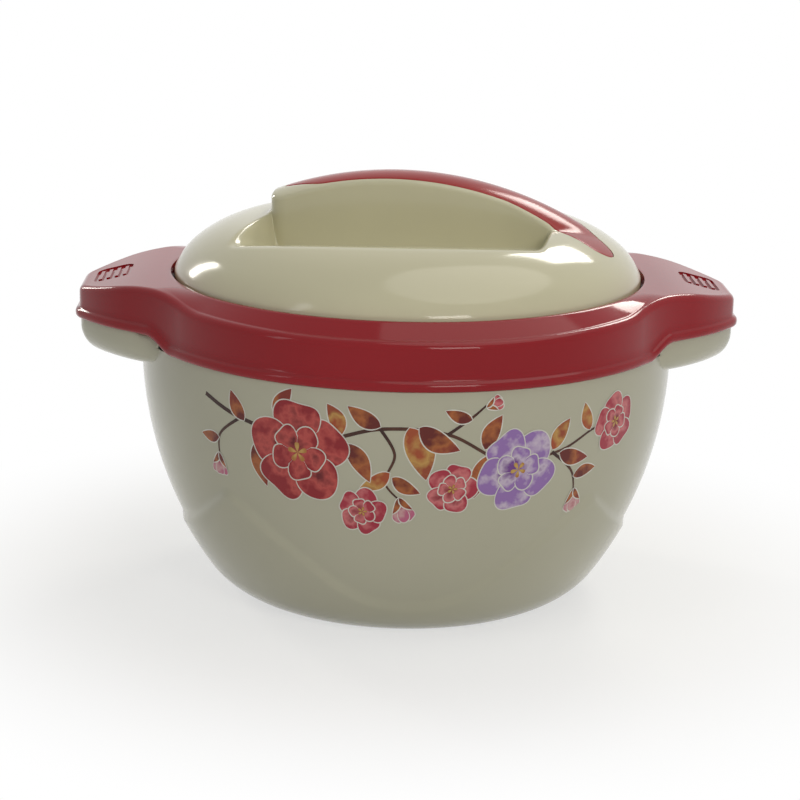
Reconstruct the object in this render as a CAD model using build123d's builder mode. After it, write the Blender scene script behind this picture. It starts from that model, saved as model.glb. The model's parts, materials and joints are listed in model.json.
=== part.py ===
from build123d import *
import os
from math import asin, cos, radians, sin, sqrt

# Insulated hot pot: a plastic bowl and a steel liner with foam between them, a collar with
# two ears that closes the gap, and a foam filled lid that drops into the collar.
# Millimetres. The origin is on the table under the middle of the bowl, +Z is up, and the
# ears lie along X.

# Bowl: wall and heel are two tangent arcs turned about Z
widest_radius = 121.1
widest_height = 112.0
wall_curve = 173.8
heel_height = 14.0
foot_inset = 49.7
foot_width = 6.5
foot_recess = 2.6
shell_wall = 2.2
base_wall = 2.4

# Swag relief: the lower band of the bowl stands proud of the four panels above it
band_relief = 1.8
front_swag_height = 17.0
front_swag_bend = 52.0
front_swag_angle = 39.0
front_swag_reach = 118.0
side_swag_height = 33.0
side_swag_bend = 125.0
side_swag_angle = 40.0
side_swag_reach = 116.0

# Collar ring: its bottom lies this far over the bowl's widest place, the rest over its bottom
collar_lift = 6.8
collar_inset = 2.0
collar_wall = 2.2
lip_reach = 1.9
lip_height = 4.0
lip_round = 1.1
shoulder_rise = 20.4
shoulder_round = 3.4
mouth_inset = 12.9
mouth_rise = 26.4
mouth_rim_width = 1.8
seat_rise = 17.2
seat_thickness = 2.2
seat_width = 7.2
upstand_gap = 0.3
upstand_wall = 2.2
upstand_height = 11.0

# Ears: the upper half belongs to the collar and the lower half to the bowl
ear_length = 27.3
ear_tip_half_width = 14.8
ear_tip_round = 14.0
ear_root_half_width = 51.4
ear_root_depth = 16.0
ear_root_round = 8.0
ear_root_step = 4.0
ear_flank_curve = 88.0
ear_seam_rise = 6.2
ear_drop = 16.0
ear_tip_fall = 6.6
ear_fall_run = 26.6
ear_fall_curve = 40.0
ear_top_round = 3.0
ear_inset = 0.5
ear_under_round = 12.5
ear_panel_margin = 6.0
ear_panel_length = 16.5
ear_panel_half_width = 14.0
ear_panel_round = 5.0
ear_panel_depth = 0.8
ear_rib_count = 4
ear_rib_width = 1.6
ear_rib_pitch = 3.7
ear_rib_half_length = 9.0

# Screws up into the ears
screw_margin = 18.0
screw_place_y = 14.0
screw_shank_radius = 1.5
screw_pilot_gap = 0.05
screw_hole_gap = 0.35
screw_head_radius = 3.0
screw_head_gap = 0.5
screw_head_height = 2.2
screw_length = 16.0
screw_slot_width = 0.9
screw_slot_depth = 1.0
screw_sink = 3.4
post_radius = 4.9
post_height = 11.0
boss_radius = 4.2

# Steel liner, hung in the collar's seat
liner_sheet = 0.7
liner_neck_gap = 0.8
liner_neck_length = 10.0
liner_wall_inset = 7.9
liner_wall_height = 44.0
liner_heel_width = 34.0
liner_floor_height = 16.0
liner_flange_gap = 0.6

# Foam in the bowl and the plug that closes its filling hole
foam_gap = 0.2
fill_hole_radius = 12.0
plug_gap = 0.1
plug_cap_radius = 16.0
plug_cap_height = 1.2
plug_snap_reach = 0.8
plug_snap_height = 1.2

# Lid dome: crown, shoulder and edge are three tangent arcs turned about Z
lid_gap = 1.5
lid_edge_rise = 7.6
crown_curve = 532.0
crown_edge_inset = 34.7
dome_shoulder_curve = 52.0
dome_shoulder_inset = 8.7
dome_edge_curve = 29.0
lid_wall = 2.4
lid_set_angle = -9.0

# Handle: a fin across the dome, blunt at one end, whose tail bends and runs into the dome.
# Its places along X count inwards from the lid's edge.
grip_half_width = 14.2
grip_blunt_inset = 43.2
grip_corner = 7.5
grip_bend_inset = 58.7
grip_middle_inset = 36.7
grip_middle_drift = 4.0
grip_middle_half_width = 13.4
grip_tail_inset = 20.7
grip_tail_drift = 17.0
grip_tail_half_width = 10.5
grip_crest_lift = 16.8
grip_crest_place = -3.0
grip_crest_curve = 162.0
grip_crown_curve = 32.0
grip_root_rise = 11.8

# Finger hollows beside the handle
hollow_crest_sink = 4.6
hollow_crest_inset = 35.7
hollow_floor_angle = 13.0
hollow_turn = 8.0
hollow_far_run = 19.5
hollow_near_run = 4.5
hollow_slant = 14.5
hollow_slant_place = 52.0

# Red insert that snaps into the top of the handle
insert_margin = 1.8
insert_depth = 2.6
insert_gap = 0.15
insert_tip_run = 8.5
insert_tip_radius = 3.5
insert_neck_run = 25.5
insert_neck_radius = 10.8
leg_end_run = 29.5
leg_middle_run = 20.0
leg_tail_run = 16.0
leg_radius = 2.0
leg_gap = 0.1
leg_length = 6.0

# Plug of the lid's filling hole, under the insert
lid_plug_hole_radius = 5.0
lid_plug_cap_radius = 7.5
lid_plug_cap_height = 1.1
lid_plug_sink = 2.2
lid_plug_boss_depth = 3.0
lid_plug_boss_rise = 0.4

# Inner plate of the lid and its seal
plate_wall = 2.0
plate_gap = 0.15
plate_rim_height = 7.0
plate_drop_gap = 4.2
plate_drop_depth = 7.2
plate_corner = 5.0
seal_thickness = 1.5
seal_neck_gap = 1.3
seal_edge_gap = 0.3
seal_tongue_inset = 2.7
seal_tongue_width = 1.8
seal_tongue_height = 1.0
seal_groove_gap = 0.3

# Every cut runs on past the faces that it opens by this much, and edges are picked by
# height within this slack
overrun = 5.0
height_slack = 0.3

# Places and sizes that follow from those above
outer_body = widest_radius + overrun
foot_radius = widest_radius - foot_inset
shell_floor = foot_recess + base_wall
collar_bottom = widest_height + collar_lift
collar_side_radius = widest_radius - collar_inset
shoulder_height = collar_bottom + shoulder_rise
mouth_radius = collar_side_radius - mouth_inset
mouth_height = collar_bottom + mouth_rise
seat_height = collar_bottom + seat_rise
seat_inner_radius = mouth_radius - seat_width
upstand_radius = collar_side_radius - collar_wall - upstand_gap
upstand_bore = upstand_radius - upstand_wall
ear_reach = collar_side_radius + ear_length
ear_root_place = sqrt(collar_side_radius**2 - ear_root_half_width**2)
ear_seam = collar_bottom + ear_seam_rise
ear_fall_start = ear_reach - ear_fall_run
ear_panel_middle = ear_reach - ear_panel_margin - ear_panel_length / 2
screw_place_x = ear_reach - screw_margin
tray_bottom = ear_seam - ear_drop
tray_floor = tray_bottom + shell_wall
tray_inner_radius = collar_side_radius + ear_inset
post_top = tray_bottom + post_height
screw_seat = tray_bottom + screw_sink
pilot_depth = screw_seat + screw_length + screw_hole_gap - post_top

flange_top = seat_height + liner_sheet
liner_neck_radius = seat_inner_radius - liner_neck_gap
liner_neck_height = seat_height - liner_neck_length
liner_wall_radius = liner_neck_radius - liner_wall_inset
liner_floor_radius = liner_wall_radius - liner_heel_width
liner_flange_radius = mouth_radius - liner_flange_gap

lid_radius = mouth_radius - lid_gap
lid_bottom = flange_top + seal_thickness
crown_reach = lid_radius - crown_edge_inset
dome_shoulder_reach = lid_radius - dome_shoulder_inset
crown_tilt = asin(crown_reach / crown_curve)
dome_shoulder_middle = crown_reach - dome_shoulder_curve * sin(crown_tilt)
dome_shoulder_tilt = asin((dome_shoulder_reach - dome_shoulder_middle) / dome_shoulder_curve)
dome_edge_middle = dome_shoulder_reach - dome_edge_curve * sin(dome_shoulder_tilt)
dome_edge_tilt = asin((lid_radius - dome_edge_middle) / dome_edge_curve)
crown_drop = crown_curve * (1 - cos(crown_tilt))
dome_shoulder_drop = dome_shoulder_curve * (cos(crown_tilt) - cos(dome_shoulder_tilt))
dome_edge_drop = dome_edge_curve * (cos(dome_shoulder_tilt) - cos(dome_edge_tilt))
lid_edge_height = lid_bottom + lid_edge_rise
crown_height = lid_edge_height + dome_edge_drop + dome_shoulder_drop + crown_drop
grip_blunt_end = grip_blunt_inset - lid_radius
grip_bend_start = lid_radius - grip_bend_inset
grip_middle_place = lid_radius - grip_middle_inset
grip_tail_place = lid_radius - grip_tail_inset
grip_crest_height = crown_height + grip_crest_lift
grip_root_height = lid_bottom + grip_root_rise
hollow_crest_height = crown_height - hollow_crest_sink
hollow_crest_place = lid_radius - hollow_crest_inset
hollow_far_end = grip_bend_start + hollow_far_run
hollow_near_end = grip_blunt_end + hollow_near_run
leg_places = (
    grip_blunt_end + leg_end_run,
    grip_bend_start - leg_middle_run,
    grip_bend_start + leg_tail_run,
)
lid_top = grip_crest_height + overrun
plug_seat = grip_crest_height - insert_depth - lid_plug_sink

plate_radius = lid_radius - lid_wall - plate_gap
plate_rim_top = lid_bottom + plate_rim_height
plate_drop_radius = liner_neck_radius - plate_drop_gap
plate_drop_height = lid_bottom - plate_drop_depth
seal_inner_radius = liner_neck_radius - seal_neck_gap
seal_outer_radius = lid_radius - seal_edge_gap
seal_tongue_radius = seal_inner_radius + seal_tongue_inset


def on_arc(center, radius, height):
    """The point at this height on the outer side of a circle in the profile plane."""
    return Vector(center.X + sqrt(radius**2 - (center.Y - height) ** 2), height)


def on_arc_over(center, radius, place):
    """The point at this distance from the axis on the upper side of a circle in the profile plane."""
    return Vector(place, center.Y + sqrt(radius**2 - (place - center.X) ** 2))


def center_arc(center, start, end):
    """The shorter arc from start to end about center, in the open BuildLine."""
    half = (start + end) / 2 - center
    middle = center + half * ((start - center).length / half.length)
    ThreePointArc(start, middle, end)


def bowl_profile(grow, low, high):
    """Closed profile of the bowl between two heights, with its outer face moved out by grow."""
    wall_center = Vector(widest_radius - wall_curve, widest_height)
    joint = on_arc(wall_center, wall_curve, heel_height)
    normal = (joint - wall_center) / wall_curve
    chord = joint - Vector(foot_radius, 0)
    heel_curve = chord.dot(chord) / (2 * chord.dot(normal))
    heel_center = joint - normal * heel_curve
    bottom = on_arc(heel_center, heel_curve + grow, low)
    bend = joint + normal * grow
    top = on_arc(wall_center, wall_curve + grow, high)
    Line((0, low), bottom)
    center_arc(heel_center, bottom, bend)
    center_arc(wall_center, bend, top)
    Line(top, (0, high))
    Line((0, high), (0, low))


def bowl_face(grow, low, high):
    """Half section of the bowl between two heights."""
    with BuildSketch(mode=Mode.PRIVATE) as face:
        with BuildLine():
            bowl_profile(grow, low, high)
        make_face()
    return face.sketch


def turned(*faces):
    """Solid of revolution about Z of these half sections together."""
    with BuildPart(mode=Mode.PRIVATE) as solid:
        with BuildSketch(Plane.XZ):
            for face in faces:
                add(face)
        revolve(axis=Axis.Z)
    return solid.part


def bowl_solid(grow, low, high):
    """Full round solid of the bowl."""
    return turned(bowl_face(grow, low, high))


def ring_solid(inner, outer, low, high):
    """Plain round ring, or a disc when inner is zero."""
    with BuildPart(mode=Mode.PRIVATE) as solid:
        with BuildSketch(Plane.XY.offset(low)):
            Circle(outer)
            if inner > 0:
                Circle(inner, mode=Mode.SUBTRACT)
        extrude(amount=high - low)
    return solid.part


def swag_cutter(turn, height, bend, angle, reach):
    """Everything above one swag line, on one side of the bowl."""
    side = bend * sin(radians(angle))
    rise = bend * (1 - cos(radians(angle)))
    arm_top = height + rise + (reach - side) * sin(radians(angle)) / cos(radians(angle))
    with BuildPart(mode=Mode.PRIVATE) as cutter:
        with BuildSketch(Plane.XZ):
            with BuildLine():
                ThreePointArc(
                    (-side, height + rise), (0, height), (side, height + rise)
                )
                Line((side, height + rise), (reach, arm_top))
                Line((reach, arm_top), (outer_body, arm_top))
                Line((outer_body, arm_top), (outer_body, widest_height + outer_body))
                Line((outer_body, widest_height + outer_body), (-outer_body, widest_height + outer_body))
                Line((-outer_body, widest_height + outer_body), (-outer_body, arm_top))
                Line((-outer_body, arm_top), (-reach, arm_top))
                Line((-reach, arm_top), (-side, height + rise))
            make_face()
        extrude(amount=outer_body)
    return cutter.part.rotate(Axis.Z, turn)


def ears(grow):
    """Sketch of both ears from inside the collar to their tips, grown by this amount."""
    root = collar_side_radius - ear_root_depth
    tip = Vector(ear_reach, ear_tip_half_width)
    half = (tip - Vector(ear_root_place, ear_root_half_width)) / 2
    depth = sqrt(ear_flank_curve**2 - half.length**2) / half.length
    center = tip - half + Vector(half.Y, -half.X) * depth
    root_half_width = on_arc_over(center, ear_flank_curve, root).Y
    with BuildSketch(mode=Mode.PRIVATE) as plan:
        with BuildLine():
            RadiusArc((root, -root_half_width), (tip.X, -tip.Y), -ear_flank_curve)
            Line((tip.X, -tip.Y), tip)
            RadiusArc(tip, (root, root_half_width), -ear_flank_curve)
            Line((root, root_half_width), (root, -root_half_width))
        make_face()
        tips = plan.vertices().filter_by(lambda corner: abs(corner.X - ear_reach) < height_slack)
        fillet(tips, ear_tip_round)
        mirror(about=Plane.YZ)
        if grow:
            offset(amount=grow)
    return plan.sketch


def ear_sectors():
    """Outline of both ears with the collar's ring behind them, their roots rounded."""
    side = ear_root_half_width + ear_root_step
    place = sqrt(collar_side_radius**2 - side**2)
    with BuildSketch(mode=Mode.PRIVATE) as plan:
        Circle(collar_side_radius)
        add(ears(0))
        roots = plan.vertices().filter_by(
            lambda corner: abs(abs(corner.Y) - ear_root_half_width) < height_slack
        )
        fillet(roots, ear_root_round)
        with BuildSketch(mode=Mode.PRIVATE) as wedges:
            for way in (-2, 2):
                Polygon((0, 0), (way * place, -2 * side), (way * place, 2 * side), align=None)
            Circle(mouth_radius, mode=Mode.SUBTRACT)
        add(wedges.sketch, mode=Mode.INTERSECT)
    return plan.sketch


def is_brim(edge):
    """Whether an edge runs round the top of an ear, outside the collar's slope."""
    spot = edge.center()
    level = abs((edge % 0.5).Z) < 0.5 and spot.Z > shoulder_height - ear_top_round
    crease = edge.geom_type == GeomType.LINE and abs(spot.X) < ear_reach - height_slack
    return level and not crease and sqrt(spot.X**2 + spot.Y**2) > collar_side_radius - shoulder_round


def ear_cap(drop):
    """Everything under the ears' tops, flat and then falling to the tips, lowered by drop."""
    top = mouth_height - drop
    end = ear_reach + overrun
    end_top = top - ear_tip_fall * (end - ear_fall_start) / ear_fall_run
    with BuildPart(mode=Mode.PRIVATE) as cap:
        with BuildSketch(Plane.XZ) as side:
            Polygon(
                (-end, tray_bottom),
                (-end, end_top),
                (-ear_fall_start, top),
                (ear_fall_start, top),
                (end, end_top),
                (end, tray_bottom),
                align=None,
            )
            bends = side.vertices().filter_by(lambda corner: abs(corner.Y - top) < height_slack)
            fillet(bends, ear_fall_curve)
        extrude(amount=outer_body, both=True)
    return cap.part


def prism(plan, low, high):
    """Solid of a plan between two heights."""
    with BuildPart(mode=Mode.PRIVATE) as solid:
        with BuildSketch(Plane.XY.offset(low)):
            add(plan)
        extrude(amount=high - low)
    return solid.part


def edges_near(solid, height):
    """Edges of a solid whose middle lies at this height."""
    return solid.edges().filter_by(lambda edge: abs(edge.center().Z - height) < height_slack)


def screw_places(low):
    """Places of the four ear screws, at this height."""
    return [
        Location((side * screw_place_x, row * screw_place_y, low))
        for side in (-1, 1)
        for row in (-1, 1)
    ]


def liner_face(grow, high):
    """Half section inside the liner's outer face, moved out by grow, up to a height."""
    with BuildSketch(mode=Mode.PRIVATE) as face:
        with BuildLine():
            floor = Line((-overrun, liner_floor_height), (liner_floor_radius, liner_floor_height))
            heel_end = (liner_wall_radius, liner_wall_height)
            heel = TangentArc(floor @ 1, heel_end, tangent=floor % 1)
            wall_end = (liner_neck_radius, liner_neck_height)
            wall = TangentArc(heel @ 1, wall_end, tangent=heel % 1)
            neck = Line(wall @ 1, (liner_neck_radius, high + overrun))
            top = Line(neck @ 1, (-overrun, high + overrun))
            Line(top @ 1, floor @ 0)
        make_face()
        if grow:
            offset(amount=grow, kind=Kind.INTERSECTION)
        with Locations((widest_radius / 2, high / 2)):
            Rectangle(widest_radius, high, mode=Mode.INTERSECT)
    return face.sketch


def strip(inner, outer, low, high):
    """Rectangle of a half section."""
    with BuildSketch(mode=Mode.PRIVATE) as face:
        with Locations(((inner + outer) / 2, (low + high) / 2)):
            Rectangle(outer - inner, high - low)
    return face.sketch


def outer_corner(height):
    """Corner of the open half section at this height, away from the axis."""
    return vertices().filter_by(
        lambda spot: abs(spot.Y - height) < height_slack and spot.X > overrun
    )


def dome_solid(grow, low):
    """Full round solid under the lid's dome, its outer face moved out by grow."""
    crown_center = Vector(0, crown_height - crown_curve)
    crown_normal = Vector(sin(crown_tilt), cos(crown_tilt))
    crown_edge = crown_center + crown_normal * crown_curve
    shoulder_center = crown_edge - crown_normal * dome_shoulder_curve
    shoulder_normal = Vector(sin(dome_shoulder_tilt), cos(dome_shoulder_tilt))
    shoulder_edge = shoulder_center + shoulder_normal * dome_shoulder_curve
    edge_center = shoulder_edge - shoulder_normal * dome_edge_curve
    skirt = lid_radius + grow
    crown_start = Vector(0, crown_height + grow)
    crown_end = crown_edge + crown_normal * grow
    shoulder_end = shoulder_edge + shoulder_normal * grow
    edge_end = on_arc_over(edge_center, dome_edge_curve + grow, skirt)
    with BuildPart(mode=Mode.PRIVATE) as solid:
        with BuildSketch(Plane.XZ):
            with BuildLine():
                center_arc(crown_center, crown_start, crown_end)
                center_arc(shoulder_center, crown_end, shoulder_end)
                center_arc(edge_center, shoulder_end, edge_end)
                Line(edge_end, (skirt, low))
                Line((skirt, low), (0, low))
                Line((0, low), crown_start)
            make_face()
        revolve(axis=Axis.Z)
    return solid.part


def crest_wheel(grow):
    """Wheel under the crowned crest of the handle, its outer face moved out by grow."""
    crown = grip_crown_curve + grow
    crown_center = grip_crest_height - grip_crown_curve
    hub = Plane.YZ.offset(grip_crest_place)
    low = grip_root_height - 2 * overrun
    with BuildPart(mode=Mode.PRIVATE) as solid:
        with BuildSketch(hub):
            with BuildLine():
                near = (-crown, crown_center)
                far = (crown, crown_center)
                ThreePointArc(near, (0, crown_center + crown), far)
                Line(far, (crown, low))
                Line((crown, low), (-crown, low))
                Line((-crown, low), near)
            make_face()
        hub_axis = Axis((grip_crest_place, 0, grip_crest_height - grip_crest_curve), (0, 1, 0))
        revolve(axis=hub_axis)
    return solid.part.rotate(hub_axis, 180)


def lid_surface(grow):
    """Everything under the outer face of the dome and the crest, moved out by grow."""
    return dome_solid(grow, lid_bottom) + crest_wheel(grow)


def grip_plan(grow):
    """Outline of the handle seen from above, grown by this amount."""
    corner_x = grip_blunt_end + grip_corner
    corner_y = grip_half_width - grip_corner
    with BuildSketch(mode=Mode.PRIVATE) as plan:
        with Locations((corner_x, corner_y), (corner_x, -corner_y)):
            Circle(grip_corner + grow)
        with Locations((grip_bend_start, 0)):
            Circle(grip_half_width + grow)
        make_hull()
    with BuildSketch(mode=Mode.PRIVATE) as bend:
        with Locations((grip_bend_start, 0)):
            Circle(grip_half_width + grow)
        with Locations((grip_middle_place, -grip_middle_drift)):
            Circle(grip_middle_half_width + grow)
        make_hull()
    with BuildSketch(mode=Mode.PRIVATE) as tail:
        with Locations((grip_middle_place, -grip_middle_drift)):
            Circle(grip_middle_half_width + grow)
        with Locations((grip_tail_place, -grip_tail_drift)):
            Circle(grip_tail_half_width + grow)
        make_hull()
    return plan.sketch + bend.sketch + tail.sketch


def insert_plan(grow):
    """Outline of the insert seen from above, grown by this amount."""
    spots = (
        (grip_blunt_end + insert_tip_run, 0, insert_tip_radius),
        (grip_blunt_end + insert_neck_run, 0, insert_neck_radius),
        (grip_bend_start, 0, grip_half_width - insert_margin),
        (grip_middle_place, -grip_middle_drift, grip_middle_half_width - insert_margin),
        (grip_tail_place, -grip_tail_drift, grip_tail_half_width - insert_margin),
    )
    outline = None
    for near, far in zip(spots, spots[1:]):
        with BuildSketch(mode=Mode.PRIVATE) as link:
            for x, y, radius in (near, far):
                with Locations((x, y)):
                    Circle(radius + grow)
            make_hull()
        outline = link.sketch if outline is None else outline + link.sketch
    return outline


def hollow_cutters(grow):
    """Both finger hollows: sloping floor, slanting end and straight end, grown by this amount."""
    angle = radians(hollow_floor_angle)
    slope = sin(angle) / cos(angle)
    lower = grow / cos(angle)
    middle_floor = hollow_crest_height - hollow_crest_place * slope - lower
    edge_floor = middle_floor + outer_body * slope
    with BuildPart(mode=Mode.PRIVATE) as cutter:
        with BuildSketch(Plane.YZ.rotated((0, 0, hollow_turn)).offset(-outer_body)):
            Polygon(
                (0, middle_floor),
                (-outer_body, edge_floor),
                (-outer_body, edge_floor + outer_body),
                (0, edge_floor + outer_body),
                align=None,
            )
        extrude(amount=2 * outer_body)
        with BuildSketch(mode=Mode.PRIVATE) as plan:
            Polygon(
                (hollow_near_end, 0),
                (hollow_near_end - hollow_slant, -hollow_slant_place),
                (hollow_near_end - hollow_slant, -outer_body),
                (hollow_far_end, -outer_body),
                (hollow_far_end, 0),
                align=None,
            )
            if grow:
                offset(amount=grow, kind=Kind.INTERSECTION)
        add(prism(plan.sketch, 0, 2 * lid_top), mode=Mode.INTERSECT)
    front = cutter.part
    return front + front.mirror(Plane.XZ)


def lid_cavity(gap):
    """Hollow inside the lid's cover, shrunk by this gap on every side."""
    skin = lid_wall + gap
    roof = lid_surface(-insert_depth - skin)
    grip = prism(grip_plan(-skin), lid_bottom - overrun, lid_top)
    ceiling = prism(grip_plan(gap), grip_root_height + lid_wall - gap, lid_top)
    wide = dome_solid(-skin, lid_bottom - overrun) - hollow_cutters(skin) - ceiling
    return wide + (roof & grip)


def grip_top(x):
    """Height of the handle's crest above this place along it."""
    return grip_crest_height - grip_crest_curve + sqrt(grip_crest_curve**2 - (x - grip_crest_place) ** 2)


def leg_spots(low):
    """Places of the insert's legs, at this height."""
    return [Location((place, 0, low)) for place in leg_places]


def cover_void():
    """All that is open in the lid's cover: its hollow, the insert's pocket and their holes."""
    with BuildPart(mode=Mode.PRIVATE) as void:
        add(lid_cavity(0))
        ledge_top = plate_rim_top + plate_wall
        ledge = ring_solid(plate_radius - plate_wall, lid_radius, plate_rim_top, ledge_top)
        add(ledge, mode=Mode.SUBTRACT)
        with Locations((grip_crest_place, 0, plug_seat + lid_plug_boss_rise)):
            Cylinder(
                lid_plug_cap_radius + lid_wall,
                lid_plug_boss_rise + lid_plug_boss_depth,
                align=(Align.CENTER, Align.CENTER, Align.MAX),
                mode=Mode.SUBTRACT,
            )
        with Locations((grip_crest_place, 0, plug_seat)):
            Cylinder(
                lid_plug_cap_radius + plug_gap,
                lid_plug_sink + overrun,
                align=(Align.CENTER, Align.CENTER, Align.MIN),
            )
        with Locations((grip_crest_place, 0, plug_seat + lid_plug_boss_rise)):
            Cylinder(
                lid_plug_hole_radius,
                2 * overrun,
                align=(Align.CENTER, Align.CENTER, Align.MAX),
            )
        with Locations(*leg_spots(grip_root_height)):
            Cylinder(
                leg_radius + leg_gap,
                lid_top - grip_root_height,
                align=(Align.CENTER, Align.CENTER, Align.MIN),
            )
        pocket = prism(insert_plan(insert_gap), grip_root_height, lid_top + overrun)
        add(pocket - lid_surface(-insert_depth))
    return void.part


def set_lid(solid):
    """The lid's pieces stand turned on the pot by the lid's set angle."""
    return solid.rotate(Axis.Z, lid_set_angle)


def save(name, solid):
    solid.label = name
    export_step(solid, "parts/" + name + ".step")


os.makedirs("parts", exist_ok=True)

# Outer shell: round bowl with its foot ring, the swag band, and the trays of the two ears
with BuildPart() as outer_shell:
    add(bowl_solid(0, 0, widest_height))
    swags = (
        (0, front_swag_height, front_swag_bend, front_swag_angle, front_swag_reach),
        (90, side_swag_height, side_swag_bend, side_swag_angle, side_swag_reach),
        (180, front_swag_height, front_swag_bend, front_swag_angle, front_swag_reach),
        (270, side_swag_height, side_swag_bend, side_swag_angle, side_swag_reach),
    )
    for swag in swags:
        add(swag_cutter(*swag), mode=Mode.SUBTRACT)
    add(bowl_solid(-band_relief, shell_floor, collar_bottom))
    with BuildPart(mode=Mode.PRIVATE) as trays:
        add(prism(ears(-ear_inset), tray_bottom, ear_seam))
        under = edges_near(trays, tray_bottom).filter_by(
            lambda edge: abs(edge.center().X) > collar_side_radius - ear_root_depth / 2
        )
        fillet(under, ear_under_round)
        add(ring_solid(0, tray_inner_radius, collar_bottom, mouth_height), mode=Mode.SUBTRACT)
    add(trays.part)
    add(ring_solid(0, upstand_radius, collar_bottom - overrun, collar_bottom + upstand_height))
    with BuildPart(mode=Mode.PRIVATE) as hollows:
        add(prism(ears(-ear_inset - shell_wall), tray_floor, ear_seam + overrun))
        under = edges_near(hollows, tray_floor).filter_by(
            lambda edge: abs(edge.center().X) > collar_side_radius - ear_root_depth / 2
        )
        fillet(under, ear_under_round - shell_wall)
        inner_wall = tray_inner_radius + shell_wall
        add(ring_solid(0, inner_wall, 0, mouth_height), mode=Mode.SUBTRACT)
    add(hollows.part, mode=Mode.SUBTRACT)
    with Locations(*screw_places(tray_bottom)):
        Cylinder(post_radius, post_height, align=(Align.CENTER, Align.CENTER, Align.MIN))
        Hole(screw_shank_radius + screw_hole_gap)
    with Locations(*screw_places(tray_bottom)):
        Cylinder(
            screw_head_radius + screw_head_gap,
            screw_sink,
            align=(Align.CENTER, Align.CENTER, Align.MIN),
            mode=Mode.SUBTRACT,
        )
    inside = -band_relief - shell_wall
    add(bowl_solid(inside, shell_floor, collar_bottom - overrun), mode=Mode.SUBTRACT)
    bore = ring_solid(0, upstand_bore, collar_bottom - 2 * overrun, collar_bottom + 3 * overrun)
    add(bore, mode=Mode.SUBTRACT)
    add(ring_solid(0, foot_radius - foot_width, -overrun, foot_recess), mode=Mode.SUBTRACT)
    add(ring_solid(0, fill_hole_radius, 0, shell_floor + overrun), mode=Mode.SUBTRACT)
save("outer_shell", outer_shell.part)

# Collar ring: side wall with its lip, sloping top, mouth and liner seat, and the ears' tops
with BuildPart() as collar_ring:
    add(ring_solid(0, collar_side_radius, collar_bottom, shoulder_height))
    fillet(edges_near(collar_ring, shoulder_height), shoulder_round)
    slope_foot = collar_side_radius - shoulder_round - upstand_gap
    mouth_outer = mouth_radius + mouth_rim_width
    with BuildPart(mode=Mode.PRIVATE) as slope:
        with BuildSketch(Plane.XZ):
            Polygon(
                (0, shoulder_height - shoulder_round),
                (slope_foot, shoulder_height - shoulder_round),
                (slope_foot, shoulder_height),
                (mouth_outer, mouth_height),
                (0, mouth_height),
                align=None,
            )
        revolve(axis=Axis.Z)
    add(slope.part)
    with BuildPart(mode=Mode.PRIVATE) as ear_tops:
        add(prism(ear_sectors(), ear_seam, mouth_height + overrun) & ear_cap(0))
        brims = ear_tops.edges().filter_by(is_brim)
        fillet(brims, ear_top_round)
    add(ear_tops.part)
    with BuildPart(mode=Mode.PRIVATE) as lip:
        lip_radius = collar_side_radius + lip_reach
        add(ring_solid(0, lip_radius, collar_bottom, collar_bottom + lip_height))
        fillet(edges_near(lip, collar_bottom) + edges_near(lip, collar_bottom + lip_height), lip_round)
        add(prism(ears(0), 0, mouth_height), mode=Mode.SUBTRACT)
    add(lip.part)
    with BuildPart(mode=Mode.PRIVATE) as bead:
        add(prism(ears(lip_reach), ear_seam, ear_seam + lip_height))
        fillet(edges_near(bead, ear_seam) + edges_near(bead, ear_seam + lip_height), lip_round)
    add(bead.part)
    ceiling = shoulder_height - collar_wall
    neck_outer = mouth_radius + collar_wall
    with BuildPart(mode=Mode.PRIVATE) as hollow:
        add(ring_solid(0, collar_side_radius - collar_wall, collar_bottom - overrun, ceiling))
        with BuildSketch(Plane.XZ):
            Polygon(
                (neck_outer, ceiling),
                (slope_foot - collar_wall / 2, ceiling),
                (neck_outer, mouth_height - collar_wall * sqrt(2)),
                align=None,
            )
        revolve(axis=Axis.Z)
        with BuildPart(mode=Mode.PRIVATE) as ear_rooms:
            rooms = prism(ears(-collar_wall), ear_seam - overrun, mouth_height)
            add(rooms & ear_cap(collar_wall))
            add(ring_solid(0, collar_side_radius, 0, ear_seam), mode=Mode.SUBTRACT)
        add(ear_rooms.part)
        add(
            ring_solid(0, neck_outer, seat_height - seat_thickness, mouth_height),
            mode=Mode.SUBTRACT,
        )
    add(hollow.part, mode=Mode.SUBTRACT)
    add(ring_solid(0, mouth_radius, seat_height, mouth_height + overrun), mode=Mode.SUBTRACT)
    add(ring_solid(0, seat_inner_radius, collar_bottom, mouth_height), mode=Mode.SUBTRACT)
    with BuildPart(mode=Mode.PRIVATE) as bosses:
        with Locations(*screw_places(post_top)):
            Cylinder(
                boss_radius, mouth_height - post_top, align=(Align.CENTER, Align.CENTER, Align.MIN)
            )
        add(ear_cap(collar_wall / 2), mode=Mode.INTERSECT)
        with Locations(*screw_places(post_top)):
            Cylinder(
                screw_shank_radius + screw_pilot_gap,
                pilot_depth,
                align=(Align.CENTER, Align.CENTER, Align.MIN),
                mode=Mode.SUBTRACT,
            )
    add(bosses.part)
    fall = ear_tip_fall / ear_fall_run
    panel_height = mouth_height - ear_tip_fall * (ear_panel_middle - ear_fall_start) / ear_fall_run
    for way in (-1, 1):
        panel = Plane(
            origin=(way * ear_panel_middle, 0, panel_height),
            x_dir=(way, 0, -fall),
            z_dir=(way * fall, 0, 1),
        )
        with BuildSketch(panel):
            RectangleRounded(ear_panel_length, 2 * ear_panel_half_width, ear_panel_round)
            with GridLocations(ear_rib_pitch, 0, ear_rib_count, 1):
                Rectangle(ear_rib_width, 2 * ear_rib_half_length, mode=Mode.SUBTRACT)
        extrude(amount=-ear_panel_depth, mode=Mode.SUBTRACT)
save("collar_ring", collar_ring.part)

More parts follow.
